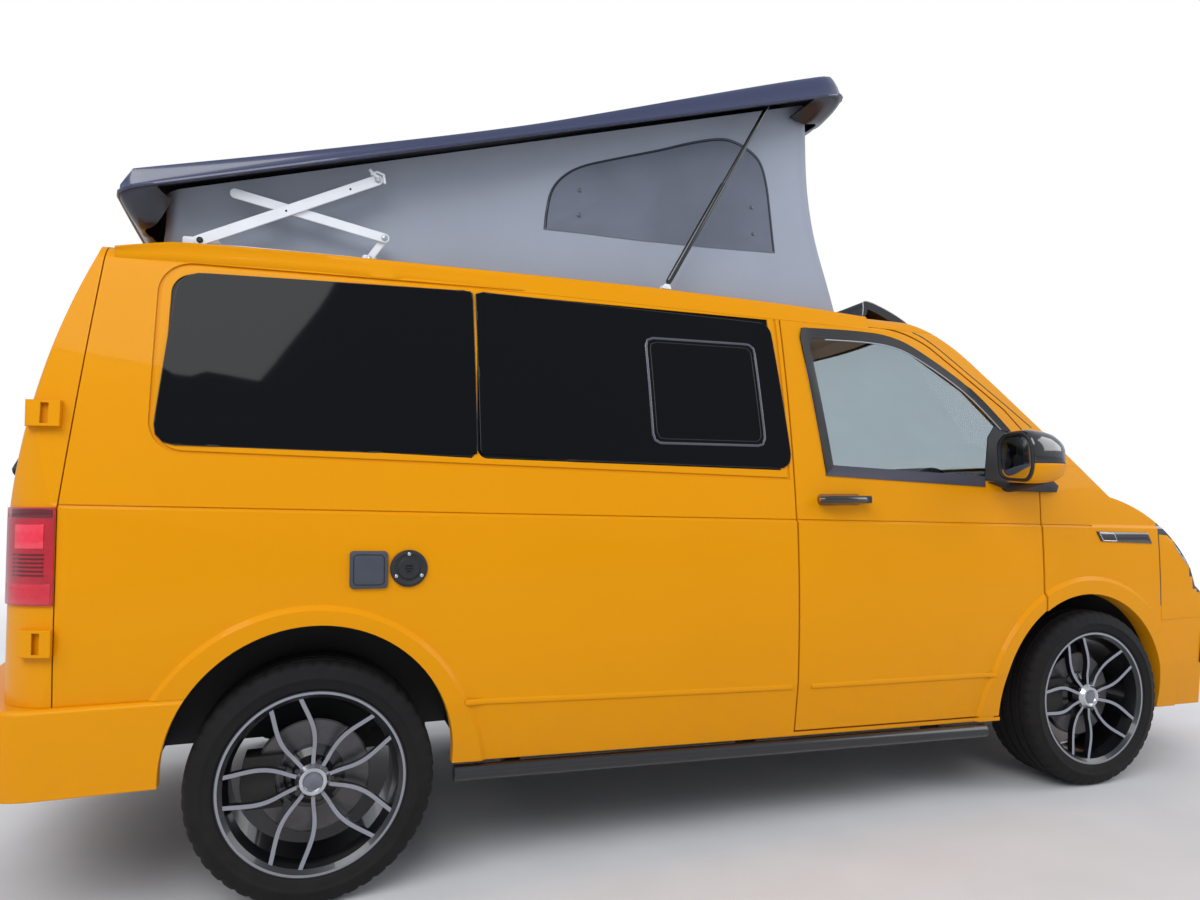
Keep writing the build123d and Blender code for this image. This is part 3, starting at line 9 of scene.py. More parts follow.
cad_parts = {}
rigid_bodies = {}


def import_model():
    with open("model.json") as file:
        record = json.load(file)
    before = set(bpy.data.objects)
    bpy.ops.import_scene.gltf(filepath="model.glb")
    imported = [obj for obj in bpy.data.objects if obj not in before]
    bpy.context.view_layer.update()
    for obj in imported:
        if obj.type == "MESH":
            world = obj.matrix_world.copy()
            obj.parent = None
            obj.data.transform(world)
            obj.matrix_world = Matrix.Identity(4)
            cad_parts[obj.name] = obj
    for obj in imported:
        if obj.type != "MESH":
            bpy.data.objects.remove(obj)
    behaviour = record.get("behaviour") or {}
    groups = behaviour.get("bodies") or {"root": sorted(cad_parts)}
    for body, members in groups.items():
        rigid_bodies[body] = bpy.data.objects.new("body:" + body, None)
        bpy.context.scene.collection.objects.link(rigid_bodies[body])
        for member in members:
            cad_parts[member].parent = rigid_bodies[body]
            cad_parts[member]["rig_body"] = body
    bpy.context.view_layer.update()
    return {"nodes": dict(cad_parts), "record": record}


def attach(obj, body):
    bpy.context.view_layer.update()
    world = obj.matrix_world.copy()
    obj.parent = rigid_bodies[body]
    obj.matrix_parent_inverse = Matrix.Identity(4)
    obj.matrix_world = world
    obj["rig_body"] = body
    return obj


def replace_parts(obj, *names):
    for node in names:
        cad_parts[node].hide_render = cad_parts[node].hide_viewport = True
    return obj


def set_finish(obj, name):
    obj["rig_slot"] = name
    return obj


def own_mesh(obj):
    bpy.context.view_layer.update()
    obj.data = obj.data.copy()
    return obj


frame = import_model()
NODES = frame["nodes"]

# Lengths are millimetres and stations are measured from the rear axle; at() turns a place into metres
REAR_AXLE = -1.456
WHEEL_BASE = 3.0
WHEEL_Y = 0.814
WHEEL_Z = 0.348
FALL = 0.0304
HANDS = ((-1, "right"), (1, "left"))
DOOR_BODY = "cab_door_body_right"


# Materials

def linear(red, green, blue):
    """A colour given as 0..255 display values, as linear light."""
    out = []
    for value in (red, green, blue):
        value /= 255
        out.append(value / 12.92 if value <= 0.04045 else ((value + 0.055) / 1.055) ** 2.4)
    return (*out, 1.0)


def add_node(tree, kind, inputs=None, **settings):
    """A shader node; each input is given as a value or as the socket that feeds it."""
    node = tree.nodes.new("ShaderNode" + kind)
    for key, value in settings.items():
        setattr(node, key, value)
    for key, value in (inputs or {}).items():
        if isinstance(value, bpy.types.NodeSocket):
            tree.links.new(value, node.inputs[key])
        else:
            node.inputs[key].default_value = value
    return node


def dusty(tree, base, place, dust):
    """A base colour greyed by specks of dust near the ground."""
    height = add_node(tree, "SeparateXYZ", {"Vector": place}).outputs["Z"]
    low = add_node(tree, "MapRange", {"From Min": 0.75, "From Max": 0.3, "Value": height})
    speck = add_node(tree, "TexNoise", {"Scale": 18, "Detail": 8, "Vector": place})
    amount = add_node(tree, "Math", {0: low.outputs["Result"], 1: speck.outputs["Fac"]}, operation="MULTIPLY")
    less = add_node(tree, "Math", {0: amount.outputs[0], 1: dust}, operation="MULTIPLY")
    mix = add_node(tree, "Mix", {"Factor": less.outputs[0], "A": base, "B": linear(120, 104, 84)},
                   data_type="RGBA")
    return mix.outputs["Result"]


def shade(name, colour, rough=0.5, metal=0.0, vary=0.08, scale=6.0, bump=0.0, bump_scale=200.0,
          coat=0.0, spec=0.5, weave=False, stretch=(1, 1, 1), soften=0.0, dust=0.0, **sockets):
    """A procedural material: base colour varied by a soft noise, with roughness variation and a fine bump.

    weave makes the bump a plain cloth weave, soften rounds hard edges and dust greys what is near the ground.
    """
    mat = bpy.data.materials.new(name)
    mat.use_nodes = True
    tree = mat.node_tree
    bsdf = tree.nodes["Principled BSDF"]
    place = add_node(tree, "TexCoord").outputs["Object"]
    stretched = add_node(tree, "Mapping", {"Scale": stretch, "Vector": place}).outputs["Vector"]
    cloud = add_node(tree, "TexNoise", {"Scale": scale, "Detail": 4.0, "Vector": stretched}).outputs["Fac"]
    ramp = add_node(tree, "ValToRGB", {"Fac": cloud})
    for element, stop, factor in zip(ramp.color_ramp.elements, (0.3, 0.7), (1 - vary, 1 + vary * 0.5)):
        element.position = stop
        element.color = (*[min(1.0, c * factor) for c in colour[:3]], 1)
    base = ramp.outputs["Color"]
    rough_map = add_node(tree, "MapRange", {"To Min": max(0.0, rough * 0.85),
                                            "To Max": min(1.0, rough * 1.15), "Value": cloud})
    tree.links.new(rough_map.outputs["Result"], bsdf.inputs["Roughness"])
    if dust:
        base = dusty(tree, base, place, dust)
    tree.links.new(base, bsdf.inputs["Base Color"])
    values = {"Metallic": metal, "Specular IOR Level": spec, "Coat Weight": coat, "Coat Roughness": 0.03}
    values.update({key.replace("_", " "): value for key, value in sockets.items()})
    for key, value in values.items():
        bsdf.inputs[key].default_value = value
    normal = None
    if soften:
        normal = add_node(tree, "Bevel", {"Radius": soften}, samples=4).outputs["Normal"]
    if bump:
        if weave:
            wave = {"Scale": bump_scale, "Distortion": 0.6, "Vector": stretched}
            threads = [add_node(tree, "TexWave", wave, bands_direction=way).outputs["Fac"] for way in "XZ"]
            grain = add_node(tree, "Math", {0: threads[0], 1: threads[1]}).outputs[0]
        else:
            grain = add_node(tree, "TexNoise", {"Scale": bump_scale, "Vector": stretched}).outputs["Fac"]
        relief = add_node(tree, "Bump", {"Strength": bump, "Distance": 0.001, "Height": grain})
        if normal:
            tree.links.new(normal, relief.inputs["Normal"])
        normal = relief.outputs["Normal"]
    if normal:
        tree.links.new(normal, bsdf.inputs["Normal"])
    return mat


MATS = {}


def paint(name, rgb, rough, **options):
    """One of the part's materials, its colour given as display values."""
    MATS[name] = shade(name, linear(*rgb), rough, **options)


paint("body_paint", (225, 149, 2), 0.38, vary=0.025, scale=1.5, coat=0.12, spec=0.14, soften=0.004, dust=0.12,
      Specular_Tint=(1, 0.72, 0.4, 1), Coat_Tint=(1, 0.85, 0.6, 1))
paint("roof_gloss", (42, 50, 84), 0.25, vary=0.06, scale=2.0, coat=0.6, soften=0.006)
# A darker copy of the shell's navy gloss: painted shade on the skirts that hang under its rim.
paint("skirt_shade_gloss", (30, 32, 44), 0.32, vary=0.08, scale=3.0, coat=0.35)
paint("canvas_cloth", (158, 165, 178), 0.9, vary=0.07, scale=2.2, bump=0.25, bump_scale=500.0, weave=True,
      spec=0.15)
paint("panel_cloth", (110, 116, 129), 0.9, vary=0.1, scale=5.0, bump=0.3, bump_scale=500.0, weave=True,
      spec=0.15)
paint("dark_glass", (5, 6, 9), 0.04, vary=0.05, scale=1.0, spec=0.16)
paint("clear_glass", (225, 232, 232), 0.02, vary=0.02, Transmission_Weight=1.0, IOR=1.1)
paint("mirror_glass", (200, 206, 212), 0.03, metal=1.0, vary=0.03)
paint("lamp_clear", (52, 55, 62), 0.1, vary=0.05, metal=0.2, coat=1.0)
paint("lamp_red", (184, 14, 36), 0.1, vary=0.15, scale=30, coat=1.0)
paint("lamp_bright", (240, 38, 66), 0.2, vary=0.1, scale=60, coat=1.0)
paint("lamp_dark", (96, 6, 20), 0.2, vary=0.1, scale=60, coat=0.5)
paint("lamp_pink", (206, 34, 52), 0.2, vary=0.1, scale=60, coat=0.5)
paint("lamp_silver", (206, 212, 220), 0.15, metal=0.6, vary=0.08, scale=60, coat=1.0)
paint("black_trim", (28, 29, 32), 0.6, bump=0.3, bump_scale=700)
paint("gloss_black", (13, 13, 15), 0.12, coat=1.0)
paint("tyre_rubber", (7, 8, 12), 0.75, vary=0.2, scale=11, bump=0.35, bump_scale=420, dust=0.06, spec=0.3)
paint("alloy", (15, 15, 18), 0.3, vary=0.1, scale=30, coat=0.6)
paint("cap_grey", (120, 124, 134), 0.25, metal=0.8, vary=0.2, scale=30, coat=0.5)
paint("disc_steel", (96, 94, 96), 0.35, metal=0.9, vary=0.25, scale=14, bump=0.2, bump_scale=300,
      stretch=(1, 8, 1))
paint("bare_steel", (190, 192, 196), 0.25, metal=1.0, vary=0.05, scale=30)
paint("machined", (205, 207, 212), 0.24, metal=1.0, vary=0.08, scale=40)
paint("chassis_iron", (38, 36, 35), 0.7, vary=0.3, scale=14, bump=0.5, bump_scale=160)
paint("white_steel", (226, 229, 234), 0.35, vary=0.05, scale=10, soften=0.002)
paint("strut_black", (20, 20, 23), 0.25, vary=0.1, scale=20, coat=0.5)
paint("cabin_plastic", (46, 47, 51), 0.6, bump=0.4, bump_scale=600, soften=0.01)
paint("seat_cloth", (62, 64, 71), 0.9, vary=0.15, scale=30, bump=0.5, bump_scale=400, weave=True)
paint("cabinet_board", (178, 170, 154), 0.5, vary=0.1, scale=4, stretch=(1, 1, 14), soften=0.003)
paint("rubber_seal", (17, 17, 19), 0.5, bump=0.2, bump_scale=400)
paint("sill_rubber", (58, 58, 72), 0.5, vary=0.1, scale=10)
paint("seam_dark", (62, 66, 76), 0.8, vary=0.1, scale=30)
# Pale grey: painted highlights along the cab window's inner edge and the wind deflector's ends.
paint("piping", (176, 182, 194), 0.5, vary=0.1, scale=20)
paint("slide_edge", (70, 74, 84), 0.3, vary=0.1, scale=20, coat=0.4)
# Dark navy matte: the canvas window's own seam colour; on the shell's lining partly painted shade, in the
# flue's slots painted shade.
paint("liner_dark_and_shade", (30, 33, 44), 0.8, bump=0.3, bump_scale=500)
paint("flap_grey", (62, 66, 78), 0.5, vary=0.08, scale=20, bump=0.15, bump_scale=500)
paint("plate_white", (226, 226, 222), 0.4, vary=0.04, scale=20)
paint("plate_yellow", (214, 176, 26), 0.4, vary=0.04, scale=20)
# Body orange darkened: painted shade in the door handle's dish.
paint("recess", (148, 88, 8), 0.4, vary=0.05, scale=10, coat=0.5)
# Near-black: painted shade in the hook-up flap's seam.
paint("recess_dark", (24, 25, 28), 0.6, vary=0.05, scale=10)


def wheel_paint(name, centre_x, side):
    """Black paint with bright machined faces where a wheel's outer surface faces outward."""
    mat = shade(name, linear(15, 15, 18), 0.3, vary=0.1, scale=30, coat=0.6)
    tree = mat.node_tree
    bsdf = tree.nodes["Principled BSDF"]

    def maths(operation, one, two=0.0):
        """The outcome of a calculation on two sockets or values."""
        return add_node(tree, "Math", {0: one, 1: two}, operation=operation).outputs[0]

    coords = add_node(tree, "TexCoord").outputs
    facing = add_node(tree, "SeparateXYZ", {"Vector": coords["Normal"]}).outputs["Y"]
    spot = add_node(tree, "SeparateXYZ", {"Vector": coords["Object"]}).outputs
    outward = maths("GREATER_THAN", maths("MULTIPLY", facing, side), 0.86)
    from_x = maths("SUBTRACT", spot["X"], centre_x)
    from_z = maths("SUBTRACT", spot["Z"], WHEEL_Z)
    radius = maths("SQRT", maths("ADD", maths("MULTIPLY", from_x, from_x), maths("MULTIPLY", from_z, from_z)))
    outer = maths("GREATER_THAN", maths("MULTIPLY", spot["Y"], side), WHEEL_Y + 0.05)
    inside = maths("LESS_THAN", radius, 0.262)
    mask = maths("MULTIPLY", maths("MULTIPLY", outward, outer), inside)
    old = bsdf.inputs["Base Color"].links[0].from_socket
    mix = add_node(tree, "Mix", {"Factor": mask, "A": old, "B": linear(158, 160, 170)}, data_type="RGBA")
    tree.links.new(mix.outputs["Result"], bsdf.inputs["Base Color"])
    tree.links.new(mask, bsdf.inputs["Metallic"])
    return mat


AXLES = (("rear", 0.0), ("front", WHEEL_BASE))
WHEELS = {f"{axle}_{label}": (REAR_AXLE + station, side) for axle, station in AXLES for side, label in HANDS}
SLOT_OF = {entry["node"]: entry["material_slot"] for entry in frame["record"]["subparts"]}
for name, obj in NODES.items():
    obj.data.materials.clear()
    if name.startswith("rim_"):
        obj.data.materials.append(wheel_paint("alloy_" + name[4:], *WHEELS[name[4:]]))
    else:
        obj.data.materials.append(MATS[SLOT_OF[name]])


# Places, lines and skins

def at(x, y, z):
    """A place in millimetres, its station measured from the rear axle, as metres."""
    return Vector((x / 1000 + REAR_AXLE, y / 1000, z / 1000))


def smooth_loop(points, per=8, closed=True):
    """Catmull-Rom points through an outline."""
    count = len(points)
    out = []
    for i in range(count if closed else count - 1):
        p0, p1, p2, p3 = (points[(i + k) % count] if closed else points[min(max(i + k, 0), count - 1)]
                          for k in (-1, 0, 1, 2))
        for step in range(per):
            t = step / per
            out.append(tuple(0.5 * (2 * b + (c - a) * t + (2 * a - 5 * b + 4 * c - d) * t * t
                                    + (3 * b - a - 3 * c + d) * t ** 3)
                             for a, b, c, d in zip(p0, p1, p2, p3)))
    if not closed:
        out.append(tuple(points[-1]))
    return out


def rounded(points, radius, steps=6):
    """A closed flat outline with its corners rounded; radius may be a list."""
    count = len(points)
    radii = radius if isinstance(radius, (list, tuple)) else [radius] * count
    out = []
    for i, corner in enumerate(points):
        corner = Vector(corner)
        back, on = Vector(points[i - 1]) - corner, Vector(points[(i + 1) % count]) - corner
        reach = min(radii[i], back.length * 0.49, on.length * 0.49)
        start, end = corner + back.normalized() * reach, corner + on.normalized() * reach
        for step in range(steps + 1):
            t = step / steps
            out.append(tuple((1 - t) ** 2 * start + 2 * t * (1 - t) * corner + t * t * end))
    return out


def even(points, step, closed=True):
    """Points at about equal steps along an outline."""
    points = [Vector(p) for p in points]
    line = points + [points[0]] if closed else points
    lengths = [0.0]
    for a, b in zip(line, line[1:]):
        lengths.append(lengths[-1] + (b - a).length)
    count = max(3, round(lengths[-1] / step))
    out, at_run = [], 0
    for i in range(count if closed else count + 1):
        goal = lengths[-1] * i / count
        while at_run < len(line) - 2 and lengths[at_run + 1] < goal:
            at_run += 1
        span = lengths[at_run + 1] - lengths[at_run]
        out.append(line[at_run].lerp(line[at_run + 1], (goal - lengths[at_run]) / span if span else 0))
    return out


def tree_of(*parts):
    """A search tree over CAD nodes, given by name, and made pieces."""
    verts, faces = [], []
    for part in parts:
        mesh = (NODES[part] if isinstance(part, str) else part).data
        start = len(verts)
        verts += [v.co.copy() for v in mesh.vertices]
        faces += [tuple(i + start for i in p.vertices) for p in mesh.polygons]
    return BVHTree.FromPolygons(verts, faces)


def ray(tree, start, way):
    """Where a ray first meets a tree, or None."""
    return tree.ray_cast(start, Vector(way))[0]


def skin_y(tree, x, z, side=-1):
    """Y in metres of the outer skin beside a station and height, or None."""
    hit = ray(tree, at(x, side * 2000, z), (0, -side, 0))
    return None if hit is None else hit.y


def proud_y(tree, x, z, side=-1, reach=26):
    """The outermost skin round a place, so that a pane spans grooves and gaps."""
    found = [skin_y(tree, x + dx, z + dz, side) for dx in (-reach, 0, reach) for dz in (-reach, 0, reach)]
    found = [y for y in found if y is not None]
    return side * max(abs(y) for y in found) if found else None


def end_x(tree, y, z, sign=1):
    """X in metres of the nose's skin, or the tail's with sign -1, at a place across and height, or None."""
    hit = ray(tree, Vector((sign * 4.0, y / 1000, z / 1000)), (-sign, 0, 0))
    return None if hit is None else hit.x


# Forms, each as points in metres and faces

def loft(rings, around=True, first=True, last=True, endless=False):
    """Rings of points joined by quads.

    around closes each ring, first and last cap the end rings, endless joins the last ring to the first.
    """
    n, count = len(rings[0]), len(rings)
    faces = []
    for i in range(count if endless else count - 1):
        a, b = i * n, (i + 1) % count * n
        for k in range(n if around else n - 1):
            j = (k + 1) % n
            faces.append((a + k, a + j, b + j, b + k))
    if first and not endless:
        faces.append(tuple(reversed(range(n))))
    if last and not endless:
        faces.append(tuple(range((count - 1) * n, count * n)))
    return [p for ring in rings for p in ring], faces


def join(shapes):
    """Several forms as one."""
    verts, faces = [], []
    for more_verts, more_faces in shapes:
        start = len(verts)
        verts += list(more_verts)
        faces += [tuple(i + start for i in face) for face in more_faces]
    return verts, faces


def cuboid(low, high):
    """A box between two corners in millimetres."""
    verts = [at(x, y, z) for x in (low[0], high[0]) for y in (low[1], high[1]) for z in (low[2], high[2])]
    return verts, [(0, 1, 3, 2), (4, 6, 7, 5), (0, 4, 5, 1), (2, 3, 7, 6), (0, 2, 6, 4), (1, 5, 7, 3)]


def stack(rings):
    """Rings joined by quads and capped, with the first cap turned inward."""
    verts, faces = loft(rings, first=False)
    return verts, faces + [tuple(range(len(rings[0])))]


def sweep(path, radius, sides=10, closed=False, flat=1.0):
    """A tube along points in metres; radius may be a list. flat squeezes it along its second axis."""
    path = [Vector(p) for p in path]
    count = len(path)
    radii = radius if isinstance(radius, (list, tuple)) else [radius] * count
    turns = [2 * pi * k / sides for k in range(sides)]
    rings, up = [], None
    for i, point in enumerate(path):
        ahead_point = path[(i + 1) % count] if closed or i + 1 < count else point
        back_point = path[i - 1] if closed or i else point
        run = (ahead_point - back_point).normalized()
        if up is None:
            up = Vector((0, 0, 1)) if abs(run.z) < 0.9 else Vector((1, 0, 0))
        across = run.cross(up).normalized()
        up = across.cross(run).normalized()
        rings.append([point + across * cos(t) * radii[i] + up * sin(t) * radii[i] * flat for t in turns])
    return loft(rings, endless=closed)


def lathe(profile, centre, axis="y", sides=48, closed=False):
    """A profile of (along, radius) in millimetres turned about an axis through a centre in metres."""
    rings = []
    for along, radius in profile:
        ring = []
        for k in range(sides):
            turn = 2 * pi * k / sides
            a, b = radius * cos(turn) / 1000, radius * sin(turn) / 1000
            place = (a, along / 1000, b) if axis == "y" else (along / 1000, a, b)
            ring.append(Vector(centre) + Vector(place))
        rings.append(ring)
    return loft(rings, first=False, last=False, endless=closed)


def patch(probe, outline, out, inner=-4.0, step=25, axis=1, sign=-1):
    """A thin plate on a skin inside a flat outline, standing out by some millimetres.

    The outline is a side view for axis 1 and a front view for axis 0. probe gives the skin's place along the
    axis, in metres, or None past its edge; sign is the way out.
    """
    bm = bmesh.new()
    bm.faces.new([bm.verts.new((u, 0, w) if axis else (0, u, w)) for u, w in outline])
    for way, values in zip(((1, 0, 0) if axis else (0, 1, 0), (0, 0, 1)), zip(*outline)):
        low, high = min(values), max(values)
        count = int((high - low) / step)
        for k in range(1, count + 1):
            bmesh.ops.bisect_plane(bm, geom=bm.verts[:] + bm.edges[:] + bm.faces[:], plane_no=way,
                                   plane_co=Vector(way) * (low + (high - low) * k / (count + 1)))
    bm.verts.index_update()
    found = [probe(v.co.x if axis else v.co.y, v.co.z) for v in bm.verts]
    known = [place for place in found if place is not None]
    mean = sum(known) / len(known)
    verts = []
    for depth in (out, inner):
        for v, place in zip(bm.verts, found):
            spot = at(*v.co) if axis else v.co / 1000
            spot[axis] = (mean if place is None else place) + sign * depth / 1000
            verts.append(spot)
    count = len(found)
    faces = []
    for f in bm.faces:
        loop = [v.index for v in f.verts]
        faces += [tuple(loop), tuple(i + count for i in reversed(loop))]
    for e in bm.edges:
        if len(e.link_faces) == 1:
            a, b = (v.index for v in e.verts)
            faces.append((b, a, a + count, b + count) if axis else (a, b, b + count, a + count))
    bm.free()
    return verts, faces


def bead(tree, outline, width, height, closed=True, step=18, look=skin_y):
    """A soft strip lying on the right-hand skin along a side-view line, millimetres wide and high."""
    places = [(p, look(tree, p.x, p.y)) for p in even(outline, step, closed)]
    path = [Vector((p.x / 1000 + REAR_AXLE, y, p.y / 1000)) for p, y in places if y is not None]
    profile = [(-0.5, -1.0), (-0.5, height * 0.45), (-0.28, height * 0.9), (0, height), (0.28, height * 0.9),
               (0.5, height * 0.45), (0.5, -1.0)]
    count, rings = len(path), []
    for i, p in enumerate(path):
        ahead_point = path[(i + 1) % count] if closed or i + 1 < count else p
        back_point = path[i - 1] if closed or i else p
        across = (ahead_point - back_point).normalized().cross(Vector((0, -1, 0))).normalized()
        rings.append([p + across * a * width / 1000 + Vector((0, -h / 1000, 0)) for a, h in profile])
    return loft(rings, endless=closed)


# Pieces

def fix_normals(obj):
    """Turn every face outward."""
    bm = bmesh.new()
    bm.from_mesh(obj.data)
    bmesh.ops.recalc_face_normals(bm, faces=bm.faces)
    bm.to_mesh(obj.data)
    bm.free()


def piece(name, shape, body, slot, mat=None, bevel=0.0, levels=0, angle=40, wall=0.0, outward=True):
    """A piece that rides on a body; bevelled, thickened or subdivided, with smooth shading below an angle."""
    mesh = bpy.data.meshes.new(name)
    mesh.from_pydata([tuple(v) for v in shape[0]], [], shape[1])
    mesh.validate()
    obj = bpy.data.objects.new(name, mesh)
    bpy.context.scene.collection.objects.link(obj)
    if wall:
        solid = obj.modifiers.new("wall", "SOLIDIFY")
        solid.thickness, solid.offset = wall, 0.0
    if bevel:
        edges = obj.modifiers.new("bevel", "BEVEL")
        edges.width, edges.segments, edges.limit_method, edges.angle_limit = bevel, 2, "ANGLE", radians(30)
    if levels:
        finer = obj.modifiers.new("round", "SUBSURF")
        finer.levels = finer.render_levels = levels
    if obj.modifiers:
        done = bpy.data.meshes.new_from_object(obj.evaluated_get(bpy.context.evaluated_depsgraph_get()))
        obj.modifiers.clear()
        obj.data = done
    for face in obj.data.polygons:
        face.use_smooth = True
    obj.data.set_sharp_from_angle(angle=radians(angle))
    obj.data.materials.clear()
    obj.data.materials.append(mat if isinstance(mat, bpy.types.Material) else MATS[mat or slot])
    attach(obj, body)
    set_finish(obj, slot)
    if outward:
        fix_normals(obj)
    return obj


def twin(obj):
    """The same piece on the left, on the left-hand one of a pair of bodies."""
    verts = [(v.co.x, -v.co.y, v.co.z) for v in obj.data.vertices]
    faces = [tuple(reversed(f.vertices)) for f in obj.data.polygons]
    name = obj.name.replace("_right", "_left") if "_right" in obj.name else obj.name + "_left"
    return piece(name, (verts, faces), obj["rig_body"].replace("_right", "_left"), obj["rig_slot"],
                 obj.data.materials[0], outward=False)


def pair(*args, **options):
    """A piece on the right and its twin on the left."""
    made = piece(*args, **options)
    twin(made)
    return made


# Canvas bellows

CANVAS_Y = 720.0
CANVAS_CORNER = 48.0
CORNER_STEPS = 6
CANVAS_TUCK = 25
REAR_EDGE = [(-461, 1946), (-450, 2100), (-440, 2240)]
FRONT_EDGE = smooth_loop([(1834, 2800), (1839, 2635), (1848, 2400), (1878, 2191), (1929, 2007),
                          (1960, 1900)], 6, closed=False)
ROOF_TREE = tree_of("roof_panel", "side_panel_right", "side_panel_left", "windscreen_frame", "rear_frame",
                    "sliding_door")


def roof_under(x, y, missing=0.0):
    """Height of the body's roof at a place."""
    hit = ray(ROOF_TREE, at(x, y, 2600), (0, 0, -1))
    return missing if hit is None else hit.z * 1000


def open_rim(x):
    """Height of the raised shell's rim at a station."""
    return 2015.4 + 0.2691 * (x + 694.8)


def station_at(line, z):
    """Station of a side-view line, given from either end, at a height."""
    line = sorted(line, key=lambda p: p[1])
    for (x0, z0), (x1, z1) in zip(line, line[1:]):
        if z <= z1 or (x1, z1) == line[-1]:
            return x0 + (x1 - x0) * (z - z0) / (z1 - z0)


def canvas_loop(step):
    """Points round the bellows in plan: share from rear to front, offset along, and place across."""
    out = []
    inner_y = CANVAS_Y - CANVAS_CORNER
    side_count, end_count = int(2300.0 / step), int(2 * inner_y / step)
    for hand in (-1, 1):
        end = 1.0 if hand < 0 else 0.0
        for k in range(side_count):
            share = k / side_count if hand < 0 else 1 - k / side_count
            out.append((share, CANVAS_CORNER * (1 - 2 * share), hand * CANVAS_Y))

        def corner(step_on, way):
            """A point of a rounded corner."""
            turn = pi / 2 * step_on / CORNER_STEPS
            return (end, hand * CANVAS_CORNER * (1 - sin(turn)),
                    way * (CANVAS_Y - CANVAS_CORNER * (1 - cos(turn))))

        out += [corner(k, hand) for k in range(CORNER_STEPS)]
        out += [(end, 0.0, hand * inner_y * (1 - 2 * k / end_count)) for k in range(end_count)]
        out += [corner(CORNER_STEPS - k, -hand) for k in range(CORNER_STEPS)]
    return out


def canvas_point(share, offset, y, v):
    """A point of the bellows in metres, v from its foot on the roof to its top inside the shell."""
    x = (1 - share) * REAR_EDGE[0][0] + share * 1950.0
    foot = roof_under(x + offset, y, 1930.0) + 1.0
    z = foot
    for _ in range(4):
        top = open_rim(x + offset) + CANVAS_TUCK
        z = foot + (top - foot) * v
        x = (1 - share) * station_at(REAR_EDGE, z) + share * station_at(FRONT_EDGE, z)
    inward = 7.0 * sin(pi * v)
    place = Vector((x + offset, y, z))
    if abs(abs(y) - CANVAS_Y) < 1:
        place.y -= inward * (1 if y > 0 else -1)
    elif share in (0.0, 1.0):
        place.x += inward * 0.6 * (1 if share == 0.0 else -1)
    ripple = noise.noise(Vector((place.x / 210, y / 210, place.z / 420))) * 4.5
    ripple += noise.noise(Vector((place.x / 90, y / 90 + 7, place.z / 330))) * 1.8
    ripple *= sin(pi * min(1.0, 0.1 + v * 0.95))
    if abs(y) > CANVAS_Y - 5:
        place.y += ripple * (1 if y > 0 else -1)
    else:
        place.x += ripple
    return at(*place)


def fold(verts, lines, deep, wide):
    """Points of a side cloth pushed out along creases, given as side-view lines in millimetres."""
    out = []
    for v in verts:
        spot = Vector(((v.x - REAR_AXLE) * 1000, v.z * 1000))
        push = 0.0
        for start, end in lines:
            start, run = Vector(start), Vector(end) - Vector(start)
            t = max(0.0, min(1.0, (spot - start).dot(run) / run.length_squared))
            away = (spot - start - run * t).length
            push += deep * sin(pi * min(1.0, 0.08 + t)) * (2.718 ** (-(away / wide) ** 2))
        out.append(Vector((v.x, v.y - push / 1000, v.z)))
    return out


plan = canvas_loop(26.0)
ROWS = 22
rings = [[canvas_point(*place, row / ROWS) for place in plan] for row in range(ROWS + 1)]
canvas = piece("pop_top_canvas", loft(rings, first=False, last=False), "van_body", "canvas_cloth", angle=60)
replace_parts(canvas, "canvas")

# The cloth's D-shaped zipped window on each side, with its seams and studs
canvas_tree = tree_of(canvas)
D_TOP = smooth_loop([(749, 2110), (756, 2174), (774, 2249), (817, 2307), (888, 2353), (1011, 2396),
                     (1185, 2451), (1317, 2497), (1427, 2527), (1496, 2529), (1565, 2504), (1616, 2462),
                     (1643, 2385), (1658, 2283), (1675, 2112)], 5, closed=False)
D_FOOT = [(1422, 2106), (1124, 2105), (899, 2110)]
CREASES = [((762, 2122), (960, 2235)), ((765, 2190), (905, 2246)), ((770, 2128), (1120, 2160)),
           ((1440, 2300), (1560, 2480)), ((1650, 2125), (1500, 2200)), ((775, 2140), (1040, 2300)),
           ((1080, 2130), (1240, 2380)), ((1330, 2150), (1420, 2440))]
verts, faces = patch(lambda x, z: skin_y(canvas_tree, x, z), D_TOP + D_FOOT, 2.2, inner=0.6, step=16)
panel = piece("window_panel_right", (fold(verts, CREASES, 4.2, 15), faces), "van_body", "canvas_cloth",
              "panel_cloth")
panel_tree = tree_of(canvas, panel)
pipe = piece("window_piping_right", bead(canvas_tree, D_TOP, 5, 2.8, closed=False, step=14), "van_body",
             "canvas_cloth", "seam_dark", angle=60)
seam_line = [(1208 + (x - 1208) * 0.988, 2290 + (z - 2290) * 0.972) for x, z in D_TOP]
seam = piece("window_seam_right", bead(panel_tree, seam_line, 5, 1.4, closed=False, step=14), "van_body",
             "canvas_cloth", "liner_dark_and_shade", angle=60)
STUD = [(-1, 0.01), (-1, 7.5), (-2.5, 7.0), (-4, 4.0), (-4.6, 0.01)]
studs = [lathe(STUD, at(x, skin_y(panel_tree, x, z) * 1000, z), sides=20)
         for x, z in ((880, 2264), (877, 2173), (1575, 2280), (1580, 2175))]
stud = piece("window_studs_right", join(studs), "van_body", "bare_steel", "slide_edge")
hem_line = [canvas_point(*place, 0.004) for place in plan[::2]]
hem = piece("canvas_keder", sweep(hem_line, 0.004, 8, closed=True), "van_body", "canvas_cloth", angle=60)
soft_pieces = [canvas, hem]
for obj in (panel, pipe, seam, stud):
    soft_pieces += [obj, twin(obj)]

# Each cloth piece gets its own copy of its mesh
for obj in soft_pieces:
    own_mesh(obj)


# Wheels

